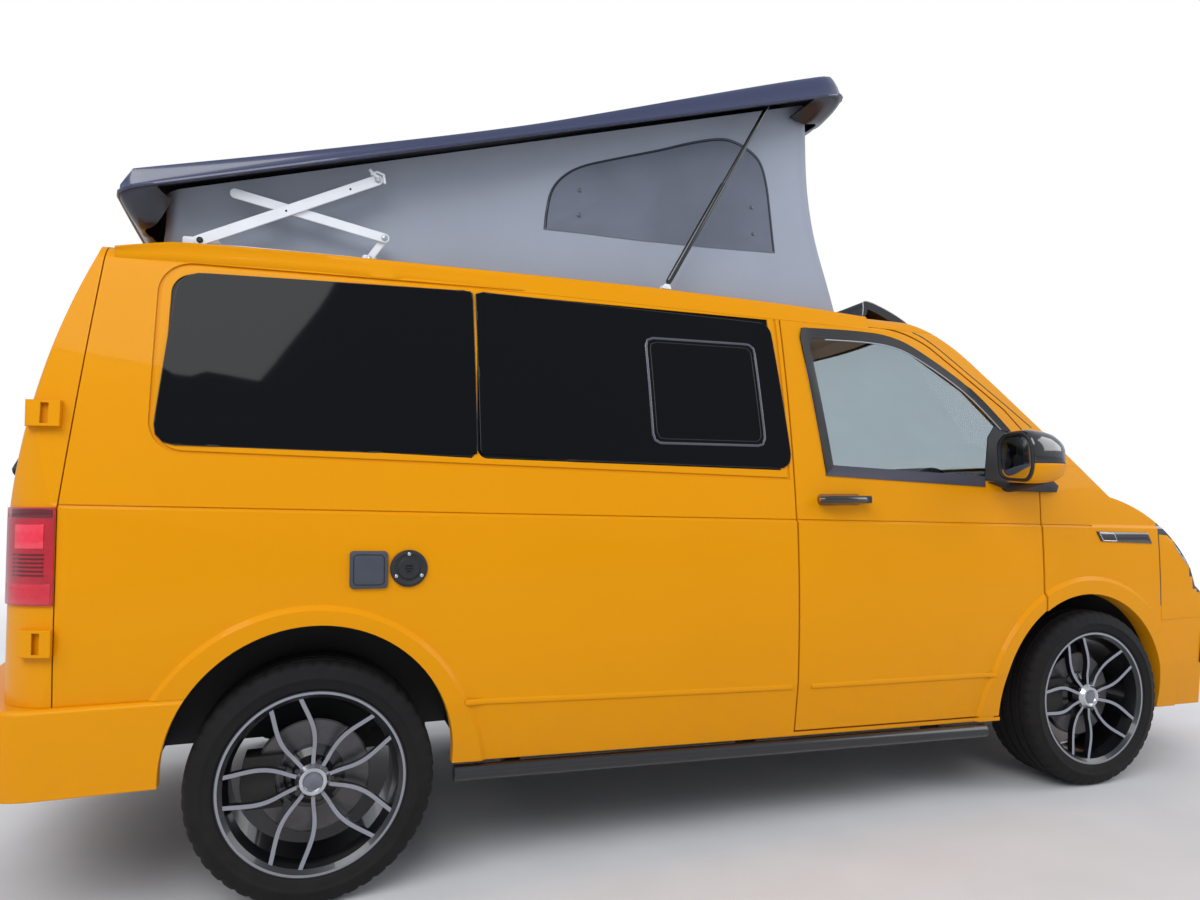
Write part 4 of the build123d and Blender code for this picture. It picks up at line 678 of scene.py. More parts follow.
def tyre_line():
    """The tyre's section as (across, radius), with raised bands on its walls and four tread grooves."""
    half = [(-112, 264.5), (-121, 272), (-125, 288), (-125.6, 296), (-127, 298), (-127, 303), (-125, 306),
            (-121.5, 322), (-119.5, 325), (-118.8, 330), (-113, 338), (-106, 343.2), (-97, 346.8),
            (-84, 347.6)]
    groove_line = ((-6.5, 348), (-4.6, 340.5), (4.6, 340.5), (6.5, 348))
    for groove in (-66, -23):
        half += [(groove + away, radius) for away, radius in groove_line]
        if groove == -66:
            half.append((-44.5, 348))
    return half + [(0, 348)] + [(-across, radius) for across, radius in reversed(half)]


def tyre(centre, side):
    """A tyre with tread grooves and cross cuts on its shoulders."""
    rings, count = [], 192
    for k in range(count):
        ring = []
        for along, radius in tyre_line():
            if k % 4 == 0 and 74 < abs(along) < 122 and radius > 320:
                radius -= 4.5
            if 30 < abs(along) < 60 and k % 6 == 0 and radius > 347:
                radius -= 2.5
            angle = 2 * pi * k / count + 0.0105 * along / 100
            ring.append(Vector((centre + radius * cos(angle) / 1000, side * (WHEEL_Y + along / 1000),
                                WHEEL_Z + radius * sin(angle) / 1000)))
        rings.append(ring)
    return loft(rings, endless=True)


# Each profile of a turned wheel part: distance outward and radius
CAP = [(92.4, 26), (94, 27.5), (97.5, 29), (99, 33), (98, 38.5), (91, 44), (84, 49.5), (80, 49.5)]
CAP_DISH = [(95.6, 0.01), (95.2, 8), (94.2, 17), (93.4, 24.2), (92.2, 28.5)]
NUT = [(55, 11), (82, 11), (86, 9), (87, 5), (87, 0.01)]
NUT_CIRCLE = 0.052
DISC = [(29, 92), (31.2, 93), (31.2, 161), (29, 163.5)]


def wheel_dress(key, centre, side):
    """Tyre, plain centre cap with its dish, five wheel nuts and the brake disc's running face."""
    body, middle = "wheel_" + key, (centre, side * WHEEL_Y, WHEEL_Z)

    def facing(profile):
        """The profile turned toward the wheel's outer side."""
        return [(side * out, radius) for out, radius in profile]

    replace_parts(piece("tyre_tread_" + key, tyre(centre, side), body, "tyre_rubber", angle=32), "tyre_" + key)
    piece("hub_cap_" + key, lathe(facing(CAP), middle, sides=64), body, "alloy", "machined", angle=30)
    piece(f"hub_cap_{key}_dish", lathe(facing(CAP_DISH), middle, sides=64), body, "alloy", "cap_grey")
    nuts = []
    for k in range(5):
        turn = 2 * pi * (k + 0.5) / 5 + radians(108.5)
        place = Vector(middle) + Vector((NUT_CIRCLE * cos(turn), 0, NUT_CIRCLE * sin(turn)))
        nuts.append(lathe(facing(NUT), place, sides=6))
    piece(f"hub_cap_{key}_nuts", join(nuts), body, "alloy", "strut_black", angle=25)
    piece(f"brake_{key}_disc", lathe(facing(DISC), middle, sides=72, closed=True), body, "chassis_iron",
          "disc_steel", angle=30)


for key, (centre_x, side) in WHEELS.items():
    wheel_dress(key, centre_x, side)


# Raised roof shell, drawn shut and turned open about the hinge line

POLE = Vector((-700.0, 2032.5))
OPEN = radians(16.8)
SHELL_REAR, SHELL_FRONT, SHELL_HALF = -568.0, 2094.0, 850.0
REAR_BEND, FRONT_BEND = 12, 70
REAR_RADIUS, FRONT_RADIUS = 62, 112
RING_POINTS = 220
SHELL_TOPS = smooth_loop([(-900, 66), (-555, 64), (-441, 62), (-100, 52), (250, 45), (522, 42), (770, 44),
                          (1033, 54), (1312, 66), (1609, 78), (1800, 84), (1960, 86), (2150, 80)], 6,
                         closed=False)


def shell_top(x):
    """Height of the shell's upper edge above its rim."""
    for (x0, h0), (x1, h1) in zip(SHELL_TOPS, SHELL_TOPS[1:]):
        if x <= x1:
            return h0 + (h1 - h0) * max(0.0, (x - x0) / (x1 - x0))
    return SHELL_TOPS[-1][1]


def shut_z(x, h):
    """Height of a point of the shut roof."""
    return 1993.3 - FALL * x + h


def raised(x, y, h):
    """Where a point of the shut roof, at a station and height over its rim, stands when it is open."""
    dx, dz = x - POLE.x, shut_z(x, h) - POLE.y
    return at(POLE.x + dx * cos(OPEN) - dz * sin(OPEN), y, POLE.y + dx * sin(OPEN) + dz * cos(OPEN))


def shell_ring(inset, count=RING_POINTS):
    """The shell's outline in plan, pulled in by a distance."""
    rear, front, half = SHELL_REAR + inset, SHELL_FRONT - inset, SHELL_HALF - inset
    at_rear, at_front = max(8.0, REAR_RADIUS - inset), max(10.0, FRONT_RADIUS - inset)
    outline = rounded([(rear, -half), (front, -half), (front, half), (rear, half)],
                      [at_rear, at_front, at_front, at_rear], 10)
    made = []
    for p in even(outline, (2 * (front - rear) + 4 * half) / count)[:count]:
        t = (p.x - SHELL_REAR) / (SHELL_FRONT - SHELL_REAR)
        bend = (p.y / SHELL_HALF) ** 2
        made.append(Vector((p.x + REAR_BEND * bend * (1 - t) - FRONT_BEND * bend * t, p.y)))
    while len(made) < count:
        made.append(made[-1].lerp(made[0], 0.5))
    return made


def crown(x, y, h):
    """Height over the rim of the crowned top, cut back at the rear end."""
    rise = 33 * (1 - (y / 872) ** 2) - 2
    rear_line = SHELL_REAR + REAR_BEND * (y / SHELL_HALF) ** 2
    return min(h + rise, 9 + (x - rear_line) * 1.02)


def shell_rings(rows):
    """Rings of the raised shell, from the inset of each and a height at a place of the shut roof."""
    return [[raised(p.x, p.y, height(p.x, p.y, inset)) for p in shell_ring(inset)] for inset, height in rows]


def level(h):
    """A flat ring's height."""
    return lambda x, y, inset: h


def on_side(share):
    """The height of a share of the way up the shell's side."""
    def height(x, y, inset):
        """The height at a place of the shut roof."""
        top = shell_top(x)
        return max(min(crown(x, y, top), 12 + (top - 12) * share), 13 + 0.1 * inset)

    return height


def on_top(drop):
    """The crowned top's height, lower by a drop."""
    return lambda x, y, inset: max(crown(x, y, shell_top(x) - drop), 13.0)


def ceiling(x, y, inset):
    """The height of the shell's lining."""
    return max(15.0, crown(x, y, shell_top(x)) - 17)


upper = [(8, level(0.0)), (0, level(-1.5)), (-5, level(-1.0)), (-7, level(2.0)), (-6.5, level(7.5)),
         (-4, level(10.0)), (0, level(11.0)), (1.5, level(13.0)), (4, on_side(0.42)), (9, on_side(0.75)),
         (13, on_side(0.93)), (17, on_top(2.5))]
upper += [(inset, on_top(0.0)) for inset in (26, 45, 70, 110, 200, 330, 500, 620, 720, 790, 835)]
shell = piece("roof_shell_gloss", loft(shell_rings(upper), first=False), "poptop_body", "roof_gloss",
              angle=38)
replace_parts(shell, "roof_shell")
under = [(7, level(0.5)), (20, level(1.0)), (22, level(5.0)), (24, level(14.0))]
under += [(inset, ceiling) for inset in (34, 80, 200, 400, 670)]
# The lining's dark colour is partly its own and partly painted shade under the shell's overhang.
piece("roof_shell_underside", loft(shell_rings(under), first=False), "poptop_body", "roof_gloss",
      "liner_dark_and_shade", angle=38, outward=False)


def skirt(name, edge_x, keep_way, middle_x, depth, come_in):
    """A curved skirt hanging from the rim round one end, clear of the body's roof when shut, its darker gloss
    painted shade.
    """
    keep = [p for p in shell_ring(0, 420) if (p.x - edge_x) * keep_way > 0]
    jumps = [(keep[k] - keep[k - 1]).length for k in range(len(keep))]
    start = jumps.index(max(jumps))
    keep = keep[start:] + keep[:start]
    rows, levels = [], 9
    for step in range(levels + 1):
        t = step / levels
        row = []
        for p in keep:
            edge = max(0.12, min(1.0, abs(p.x - edge_x) / 90.0)) ** 0.6
            inward = (Vector((middle_x, 0)) - p).normalized()
            if abs(p.y) > 700:
                inward = Vector((inward.x * 0.8, inward.y)).normalized()
            q = p + inward * (5 + come_in * t ** 1.5)
            h = -depth * t * edge + 2
            lowest = roof_under(q.x, q.y) + 9
            if shut_z(q.x, h) < lowest:
                h = min(2.0, lowest - shut_z(q.x, 0))
            row.append(raised(q.x, q.y, h))
        rows.append(row)
    # The skirt's darker gloss is painted shade under the shell's rim.
    piece(name, loft(rows, around=False, first=False, last=False), "poptop_body", "roof_gloss", "skirt_shade_gloss",
          wall=0.006, angle=50, outward=False)


skirt("rear_skirt", SHELL_REAR + 120, -1, SHELL_REAR + 600, 112, 62)
skirt("front_skirt", SHELL_FRONT - 250, 1, SHELL_FRONT - 700, 62, 120)

# Body-coloured moulding along the roof's edge
CREST = smooth_loop([(-560, 1914), (-472, 1923), (-338, 1928), (-58, 1929), (244, 1925), (372, 1923),
                     (743, 1917), (1110, 1909), (1306, 1901), (1552, 1892), (1855, 1876), (2010, 1866)], 5,
                    closed=False)
EDGE_TREE = tree_of("roof_panel", "side_panel_right", "windscreen_frame", "rear_frame", "sliding_door",
                    "cab_door_right")
crest, sections = even(CREST, 24, closed=False), []
for k, (x, crest_line) in enumerate(crest):
    fade = min(1.0, k / 6, (len(crest) - 1 - k) / 8)
    low_z = 1868 - FALL * x - 18 * max(0.0, -x / 500)
    skin = skin_y(EDGE_TREE, x, low_z)
    foot_y = -842.0 if skin is None else skin * 1000
    inner_z = roof_under(x, -786)
    crest_z = inner_z + max(2.0, crest_line - inner_z) * fade ** 0.7
    rise, lean = crest_z - low_z, -822 - foot_y
    mid_z = low_z + rise * 0.55
    section = [(foot_y + 3, low_z - 2), (foot_y - 0.6 * fade, low_z + 2),
               (foot_y + lean * 0.28, mid_z - rise * 0.16), (foot_y + lean * 0.6, mid_z + rise * 0.1),
               (-826, crest_z - 7), (-821, crest_z - 2), (-816, crest_z), (-811, crest_z - 3),
               (-810, crest_z - 9), (-810, inner_z - 8)]
    sections.append([at(x, y, z) for y, z in section])
pair("roof_edge_moulding_right", loft(sections, around=False), "van_body", "body_paint", angle=50)


# Lift linkage. Each arm lies in a layer, from its nearer to its farther place across.

def bolt(name, x, z, y, body, mat, radius, height, drop=1.5):
    """Hexagon bolt heads on washers, on the right and left, at a distance out."""
    parts, face, top = [], y + drop, y + drop + height
    washer = [(y - 0.5, 0.01), (y - 0.5, radius * 1.35), (face, radius * 1.35), (face, 0.01)]
    head = [(face - 0.2, 0.01), (face - 0.2, radius), (face + height * 0.8, radius), (top, radius * 0.82),
            (top, 0.01)]
    for hand in (-1, 1):
        for profile, sides in ((washer, 24), (head, 6)):
            parts.append(lathe([(hand * out, r) for out, r in profile], at(x, 0, z), sides=sides))
    piece(name, join(parts), body, "white_steel", mat, angle=25)


def strap(name, ends, width, layer, body, node, holes=()):
    """A flat steel arm with round ends and rolled edges, right and left as one piece, with dark discs of
    painted shade where its holes are punched.
    """
    start, end = Vector(ends[0]), Vector(ends[1])
    run, length = (end - start).normalized(), (end - start).length
    across = Vector((-run.y, run.x))
    outline = []
    for middle, first in ((end, -pi / 2), (start, pi / 2)):
        for k in range(13):
            turn = first + pi * k / 12
            outline.append(middle + run * cos(turn) * width / 2 + across * sin(turn) * width / 2)
    shrink = [(p - (start + run * max(0.0, min(length, (p - start).dot(run))))).normalized() for p in outline]
    parts = []
    for hand in (-1, 1):
        rings = []
        for y, grow in ((layer[0], -1.0), (layer[0] + 0.9, 0.0), (layer[1] - 0.9, 0.0), (layer[1], -1.0)):
            grown = [p + away * grow for p, away in zip(outline, shrink)]
            rings.append([at(q.x, hand * y, q.y) for q in grown])
        parts.append(loft(rings))
    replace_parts(piece(name, join(parts), body, "white_steel", angle=30), node)
    if holes:
        # Each hole is a dark disc on the arm's face: painted shade for the hole.
        low, high = layer[1] - 0.5, layer[1] + 0.25
        line = ((low, 0.01), (high, 0.01), (high, 3.6), (low, 3.6))
        spots = [lathe([(hand * out, r) for out, r in line], at(x, 0, z), sides=20)
                 for x, z in holes for hand in (-1, 1)]
        piece(name + "_holes", join(spots), body, "white_steel", "strut_black")


OUTER_FOOT, OUTER_TOP, INNER_TOP = (-341, 1944), (174, 2189), (-247, 2101)
LINK_TOP, LINK_FOOT = (198, 2005), (152, 1936)
bolt("arm_foot_bolts", *OUTER_FOOT, 797, "outer_arms_body", "strut_black", 7, 4)
bolt("arm_top_bolts", *OUTER_TOP, 797, "outer_arms_body", "bare_steel", 8, 5)
bolt("link_bolts", *LINK_TOP, 787, "links_body", "bare_steel", 8, 1.8, drop=0.8)
bolt("link_foot_bolts", *LINK_FOOT, 777, "links_body", "bare_steel", 7, 1.8, drop=0.8)
strap("arm_outer_dressed", (OUTER_FOOT, OUTER_TOP), 33, (791, 797), "outer_arms_body", "scissor_arms_outer",
      holes=((90, 2149), (-100, 2058.7)))
strap("arm_inner_dressed", (INNER_TOP, LINK_TOP), 30, (781, 787), "inner_arms_body", "scissor_arms_inner")
strap("link_dressed", (LINK_FOOT, LINK_TOP), 22, (771, 777), "links_body", "scissor_links")
hooks = []
for hand in (-1, 1):
    for radius, line in ((0.005, ((176, 801, 2194), (160, 801, 2206), (148, 800, 2218))),
                         (0.0045, ((196, 799, 2178), (192, 799, 2206), (172, 799, 2214), (152, 799, 2203)))):
        hooks.append(sweep([at(x, hand * y, z) for x, y, z in line], radius, 12))
piece("arm_hooks", join(hooks), "outer_arms_body", "white_steel", angle=50)

# Roof rails with their brackets, and the gas struts
RAIL = [(-392, 1925), (-392, 1956), (-388, 1961), (-300, 1961), (-292, 1956), (-284, 1946), (90, 1942),
        (205, 1938), (205, 1915), (90, 1918), (-280, 1925)]
ARM_BRACKET = [(-362, 1925), (-362, 1950), (-356, 1958), (-326, 1958), (-320, 1950), (-320, 1925)]
LINK_BRACKET = [(130, 1918), (130, 1944), (136, 1950), (168, 1950), (174, 1944), (174, 1918)]
STRUT_BRACKET = rounded([(1154, 1908), (1190, 1906), (1184, 1924), (1164, 1926)], 5, 3)
RAIL_PARTS = ((745, 766, RAIL), (766, 790, ARM_BRACKET), (745, 771, LINK_BRACKET), (790, 822, STRUT_BRACKET))
rails = [stack([[at(x, hand * y, z) for x, z in outline] for y in (near, away)])
         for hand in (-1, 1) for near, away, outline in RAIL_PARTS]
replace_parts(piece("roof_rails_dressed", join(rails), "van_body", "white_steel", bevel=0.0015, angle=30),
            "roof_rails")
STRUT_FOOT, STRUT_TOP, STRUT_Y = Vector((1174, 1916)), Vector((1614, 2664)), 800
# Along the strut, and radius in metres
TUBE = ((14, 0.006), (20, 0.007), (24, 0.010), (30, 0.011), (34, 0.0114), (455, 0.0114), (462, 0.0108),
        (466, 0.0108), (470, 0.008))
ROD = ((468, 0.0085), (840, 0.0085), (846, 0.0075), (852, 0.006))


def strut_part(name, line, sides, body, node):
    """The right and left tube or rod of the gas struts."""
    run = (STRUT_TOP - STRUT_FOOT).normalized()
    spots = [STRUT_FOOT + run * along for along, radius in line]
    tubes = [sweep([at(p.x, hand * STRUT_Y, p.y) for p in spots], [radius for along, radius in line], sides)
             for hand in (-1, 1)]
    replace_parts(piece(name, join(tubes), body, "strut_black", angle=30), node)


strut_part("strut_tubes_dressed", TUBE, 24, "strut_cylinder_body", "strut_cylinders")
strut_part("strut_rods_dressed", ROD, 20, "strut_rod_body", "strut_rods")


# Trim on the right side and its twins

SIDE_TREE = tree_of("side_panel_right", "cab_door_right", "cab_door_glass_right", "side_glass", "front_wings",
                    "windscreen_frame", "windscreen")
LOW_TREE = tree_of("side_panel_right", "cab_door_right", "front_wings", "front_bumper", "rear_bumper")
GLASS_TREE = tree_of("side_panel_right", "side_glass", "cab_door_right")


def plate(name, outline, out, slot, mat=None, body="van_body", inner=-2.0, step=30, tree=SIDE_TREE, two=True,
          bevel=0.0, look=skin_y):
    """A thin plate on the right side's skin and, where two are asked for, its twin on the left."""
    shape = patch(lambda x, z: look(tree, x, z), outline, out, inner, step)
    return (pair if two else piece)(name, shape, body, slot, mat, bevel=bevel, angle=50)


def line_bead(name, outline, width, height, slot, mat=None, body="van_body", closed=True, step=18,
              tree=SIDE_TREE, two=True, look=skin_y):
    """A soft strip on the right side's skin and, where two are asked for, its twin on the left."""
    shape = bead(tree, outline, width, height, closed, step, look)
    return (pair if two else piece)(name, shape, body, slot, mat, angle=50)


# Cab window: its black band, a painted highlight along its inner edge, sill and the triangle behind the mirror
CAB_PANE_TOP = [(1720, 1797), (1960, 1798), (2110, 1783), (2241, 1730), (2463, 1590), (2640, 1424)]
CAB_PANE = [(1747, 1250), (1690, 1760), (1700, 1794)] + smooth_loop(CAB_PANE_TOP, 4, closed=False)


def drawn_in(p, amount):
    """A point of the cab window's edge drawn toward its middle, more along the top and front."""
    middle = Vector((2120, 1480))
    away = Vector(p) - middle
    return middle.x + away.x * (1 - 1.15 * amount / 460), middle.y + away.y * (1 - amount / 300)


plate("cab_window_band_right", CAB_PANE + [drawn_in(p, 37) for p in reversed(CAB_PANE)], 1.5, "black_trim",
      "rubber_seal", DOOR_BODY, inner=-3.0, step=40, look=proud_y)
# A pale strip inside the band: a painted highlight along the window's inner edge.
line_bead("cab_window_edge_right", [drawn_in(p, 40) for p in CAB_PANE[4:]], 4, 3.0, "black_trim", "piping",
          DOOR_BODY, closed=False, look=proud_y)
plate("cab_window_sill_right", [(1750, 1284), (2486, 1244), (2474, 1203), (1745, 1244)], 4.0, "black_trim",
      "sill_rubber", DOOR_BODY, step=40)
plate("mirror_triangle_right", [(2478, 1228), (2520, 1400), (2576, 1463), (2640, 1412), (2700, 1340),
                                (2792, 1232), (2700, 1218)], 3.0, "black_trim", None, DOOR_BODY, step=40)

# Rear side windows: bonded panes out to their real edge, the slider's inner frame and the gutter line
for key, corners, radii in (("back", [(-388, 1833), (470, 1838), (474, 1300), (-441, 1326)], [62, 8, 8, 62]),
                            ("mid", [(483, 1838), (1562, 1800), (1606, 1268), (487, 1298)], [8, 40, 60, 8])):
    edge = rounded(corners, radii, 8)
    plate(f"side_pane_{key}_right", even(edge, 28), 1.6, "dark_glass", inner=-3.0, step=45, tree=GLASS_TREE,
          look=proud_y)
    line_bead(f"pane_edge_{key}_right", edge, 5, 1.5, "black_trim", "rubber_seal", step=30, tree=GLASS_TREE,
              look=proud_y)
SLIDE = rounded([(1075, 1352), (1505, 1348), (1490, 1716), (1068, 1718)], 30, 8)
SLIDE_IN = rounded([(1090, 1367), (1490, 1363), (1475, 1702), (1083, 1704)], 22, 8)
for name, edge, width, height, mat in (("slider_frame_right", SLIDE, 9, 3.4, "slide_edge"),
                                       ("slider_edge_right", SLIDE_IN, 4, 2.6, "rubber_seal")):
    line_bead(name, edge, width, height, "gloss_black", mat, step=22, tree=GLASS_TREE, look=proud_y)
GUTTER = smooth_loop([(1660, 1846), (1900, 1838), (2100, 1822), (2257, 1794), (2480, 1640), (2752, 1443)], 6,
                     closed=False)
line_bead("gutter_right", GUTTER, 4, 1.0, "black_trim", "rubber_seal", closed=False, step=24)
line_bead("low_crease_right", [(437, 546), (1000, 524), (1590, 503)], 18, 3.0, "body_paint", closed=False,
          step=60)
line_bead("door_low_crease_right", [(1668, 500), (2100, 489), (2500, 479)], 18, 3.0, "body_paint", None,
          DOOR_BODY, closed=False, step=60)

# Door handles: a moulded grip over its dish, the dish painted a darker orange as shade, and a key barrel
GRIP_POINTS = 25
grip_line, grip_radii = [], []
for k in range(GRIP_POINTS):
    t = k / (GRIP_POINTS - 1)
    grip_line.append(at(1697 + 194 * t, -966 - 15 * sin(pi * t) ** 0.5, 1157))
    grip_radii.append(0.010 + 0.005 * sin(pi * (k + 0.7) / (GRIP_POINTS + 0.4)) ** 0.4)
pair("door_grip_right", sweep(grip_line, grip_radii, 16), DOOR_BODY, "gloss_black", angle=60)
# The dish is a plate of darker orange: painted shade behind the grip.
plate("handle_dish_right", rounded([(1702, 1136), (1888, 1136), (1888, 1178), (1702, 1178)], 20, 6), 0.8,
      "body_paint", "recess", DOOR_BODY, step=20)
BARREL = [(-1, 0.01), (-1, 9), (-17, 9), (-18.5, 7), (-18.5, 0.01)]
barrel_y = skin_y(SIDE_TREE, 1718, 1157) * 1000 - 10
pair("key_barrel_right", lathe(BARREL, at(1712, barrel_y, 1157), sides=28), DOOR_BODY, "bare_steel",
     "machined", angle=30)

# Black strip on the wing without lettering, its pale frame, and the bumper's side marker
plate("wing_strip_right", [(3036, 1020), (3330, 1009), (3352, 963), (3060, 979)], 5.0, "gloss_black",
      inner=-3.0, bevel=0.0015)
line_bead("wing_strip_frame_right", [(3049, 1014), (3132, 1010), (3147, 978), (3070, 982)], 5, 6.4,
          "bare_steel", "machined", step=8)
plate("side_marker_right", rounded([(3640, 442), (3686, 440), (3690, 578), (3648, 582)], 10, 4), 5.0,
      "black_trim", inner=-4.0, tree=LOW_TREE)


# Door mirrors

# Station of each ring of the housing, five times its rise, and its scale
MIRROR_RINGS = [(2492, 0, 0.90), (2497, 3, 0.965), (2508, 5, 1.0), (2540, 4, 1.0), (2585, 0, 0.97),
                (2625, -8, 0.90), (2662, -18, 0.74), (2684, -26, 0.52), (2695, -30, 0.22)]


def mirror_ring(x, scale, shift=0.0):
    """The mirror housing's rounded outline across the van, at a station."""
    outline = rounded([(-978, 1222), (-1126, 1212), (-1156, 1262), (-1150, 1372), (-1108, 1416),
                       (-1000, 1412), (-968, 1372)], [46, 52, 50, 60, 60, 60, 60], 6)
    mid_y, mid_z = -1062, 1314
    return [at(x, mid_y + (y - mid_y) * scale, mid_z + (z - mid_z) * scale + shift) for y, z in outline]


def mirror_shell(name, low, high, slot, grow=0.0):
    """The part of the mirror housing between two heights."""
    verts, faces = loft([mirror_ring(x, scale * (1 + grow), shift * 0.2) for x, shift, scale in MIRROR_RINGS])
    bm = bmesh.new()
    made = [bm.verts.new(v) for v in verts]
    for face in faces:
        bm.faces.new([made[i] for i in face])
    for place, normal in ((low, (0, 0, -1)), (high, (0, 0, 1))):
        result = bmesh.ops.bisect_plane(bm, geom=bm.verts[:] + bm.edges[:] + bm.faces[:],
                                        plane_co=(0, 0, place / 1000), plane_no=normal, clear_outer=True)
        cut = [g for g in result["geom_cut"] if isinstance(g, bmesh.types.BMEdge)]
        if cut:
            bmesh.ops.edgeloop_fill(bm, edges=cut)
    bm.verts.index_update()
    shape = [v.co.copy() for v in bm.verts], [tuple(v.index for v in f.verts) for f in bm.faces]
    bm.free()
    return piece(name, shape, DOOR_BODY, slot, bevel=0.002, angle=35)


cap = mirror_shell("mirror_cap_right", 1292, 1500, "gloss_black")
low_cap = mirror_shell("mirror_lower_right", 1150, 1288, "body_paint")
core = mirror_shell("mirror_core_right", 1270, 1310, "black_trim", grow=-0.02)
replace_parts(low_cap, "mirror_right")
rim_rings = [mirror_ring(x, scale)
             for x, scale in ((2490, 0.94), (2482, 0.90), (2482, 0.84), (2494, 0.80), (2496, 0.6))]
rim = piece("mirror_rim_right", loft(rim_rings, first=False), DOOR_BODY, "black_trim", angle=35)
face = piece("mirror_face_right", loft([mirror_ring(2493, 0.78), mirror_ring(2491, 0.74)], first=False),
             DOOR_BODY, "bare_steel", "mirror_glass", angle=30)
arm_line = [at(2590, -905, 1200), at(2610, -950, 1205), at(2620, -1000, 1214), at(2612, -1050, 1224)]
arm = piece("mirror_arm_right", sweep(arm_line, [0.036, 0.034, 0.032, 0.030], 16, flat=0.55), DOOR_BODY,
            "black_trim", angle=50)
plate("mirror_foot_right", [(2487, 1222), (2600, 1186), (2823, 1181), (2838, 1206), (2801, 1236)], 22.0,
      "black_trim", None, DOOR_BODY, step=40, bevel=0.004)
for obj in (cap, core, rim, face, arm):
    twin(obj)
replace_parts(twin(low_cap), "mirror_left")


# Wind deflector, bowed back toward its ends

DEFLECTOR_BOW, DEFLECTOR_HALF = 26, 600
profile = smooth_loop([(2186, 1923), (2190, 1955), (2193, 1981), (2239, 1976), (2332, 1941), (2402, 1905),
                       (2450, 1868)], 5, closed=False)
under_line = [(2436, 1866), (2330, 1905), (2250, 1938), (2212, 1950), (2206, 1926)]
rings = []
for y in (-600, -592, -560, -450, -300, -150, 0, 150, 300, 450, 560, 592, 600):
    rings.append([at(x - DEFLECTOR_BOW * (y / DEFLECTOR_HALF) ** 2, y, z) for x, z in profile + under_line])
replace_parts(piece("wind_deflector_dressed", loft(rings), "van_body", "gloss_black", angle=35),
            "wind_deflector")
# Pale strips along the deflector's end edges: painted highlights.
edges = [sweep([at(x - DEFLECTOR_BOW, y, z) for x, z in profile], 0.0022, 8) for y in (-600.5, 600.5)]
piece("deflector_highlight", join(edges), "van_body", "gloss_black", "piping", angle=60, outward=False)


# Side fittings: hook-up flap and flue

flap = rounded([(93, 905), (203, 903), (203, 1013), (93, 1016)], 14, 5)
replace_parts(plate("service_flap", flap, 9.0, "black_trim", "flap_grey", two=False, tree=LOW_TREE,
                  bevel=0.002), "side_fittings")
# The dark ring on the flap is painted shade in its seam.
line_bead("flap_seam", rounded([(104, 916), (192, 914), (192, 1002), (104, 1005)], 10, 5), 4, 10.5,
          "black_trim", "recess_dark", step=12, two=False, tree=LOW_TREE)
FLUE_X, FLUE_Z = 264, 960
FLUE = [(2, 55), (-7, 55), (-10, 52), (-11, 46), (-8, 40), (-8, 34), (-12, 30), (-12, 12), (-9, 9),
        (-9, 0.01)]
SCREW = [(-8, 0.01), (-8, 5), (-12, 5), (-13, 3), (-13, 0.01)]
flue_y = skin_y(LOW_TREE, FLUE_X, 962) * 1000
piece("flue_cover", lathe(FLUE, at(FLUE_X, flue_y, FLUE_Z), sides=64), "van_body", "black_trim", angle=30)
screws = [lathe(SCREW, at(FLUE_X + 43 * cos(radians(a)), flue_y, FLUE_Z + 43 * sin(radians(a))), sides=14)
          for a in (90, 210, 330)]
piece("flue_screws", join(screws), "van_body", "bare_steel", "machined")
# The vent slots are dark bars on the cover: painted shade in their openings.
slots = [cuboid((250, flue_y - 13, 957 + d), (278, flue_y - 9, 960 + d)) for d in (-14, -5, 4, 13)]
piece("flue_slot_shade", join(slots), "van_body", "black_trim", "liner_dark_and_shade", bevel=0.001)


# Lamps, rear end and nose

LAMP_TREE = tree_of("tail_lamps", "side_panel_right", "rear_frame", "rear_door_right")
TAIL_BANDS = [("top", -800, -670, 1122, 1146, 1.6, "lamp_dark"),
              ("bright", -770, -690, 1040, 1104, 2.0, "lamp_bright"),
              ("low", -800, -670, 892, 945, 1.4, "lamp_pink")]
for name, x0, x1, z0, z1, out, mat in TAIL_BANDS:
    plate(f"tail_{name}_right", [(x0, z0), (x1, z0), (x1, z1), (x0, z1)], out, "lamp_red", mat, step=25,
          tree=LAMP_TREE, bevel=0.001)
for k in range(6):
    z = 966 + k * 11
    plate(f"tail_line_{k}_right", [(-775, z), (-690, z), (-690, z + 5), (-775, z + 5)], 2.2, "lamp_red",
          "lamp_dark", tree=LAMP_TREE)

NOSE = tree_of("front_bumper", "grille", "headlamps", "front_wings", "bonnet")
TAIL = tree_of("rear_door_right", "rear_door_left", "rear_frame", "rear_bumper", "tail_lamps",
               "rear_door_glass_right", "rear_door_glass_left")
for name, tree, sign, y0, z0, body, mat in (
        ("plate_front_blank", NOSE, 1, -260, 470, "van_body", "plate_white"),
        ("plate_rear_blank", TAIL, -1, 120, 960, "rear_door_body_left", "plate_yellow")):
    outline = [(y0, z0), (y0 + 520, z0), (y0 + 520, z0 + 112), (y0, z0 + 112)]
    shape = patch(lambda y, z: end_x(tree, y, z, sign), outline, 8.0, 4.0, 40, axis=0, sign=sign)
    piece(name, shape, body, "body_paint", mat, bevel=0.001)

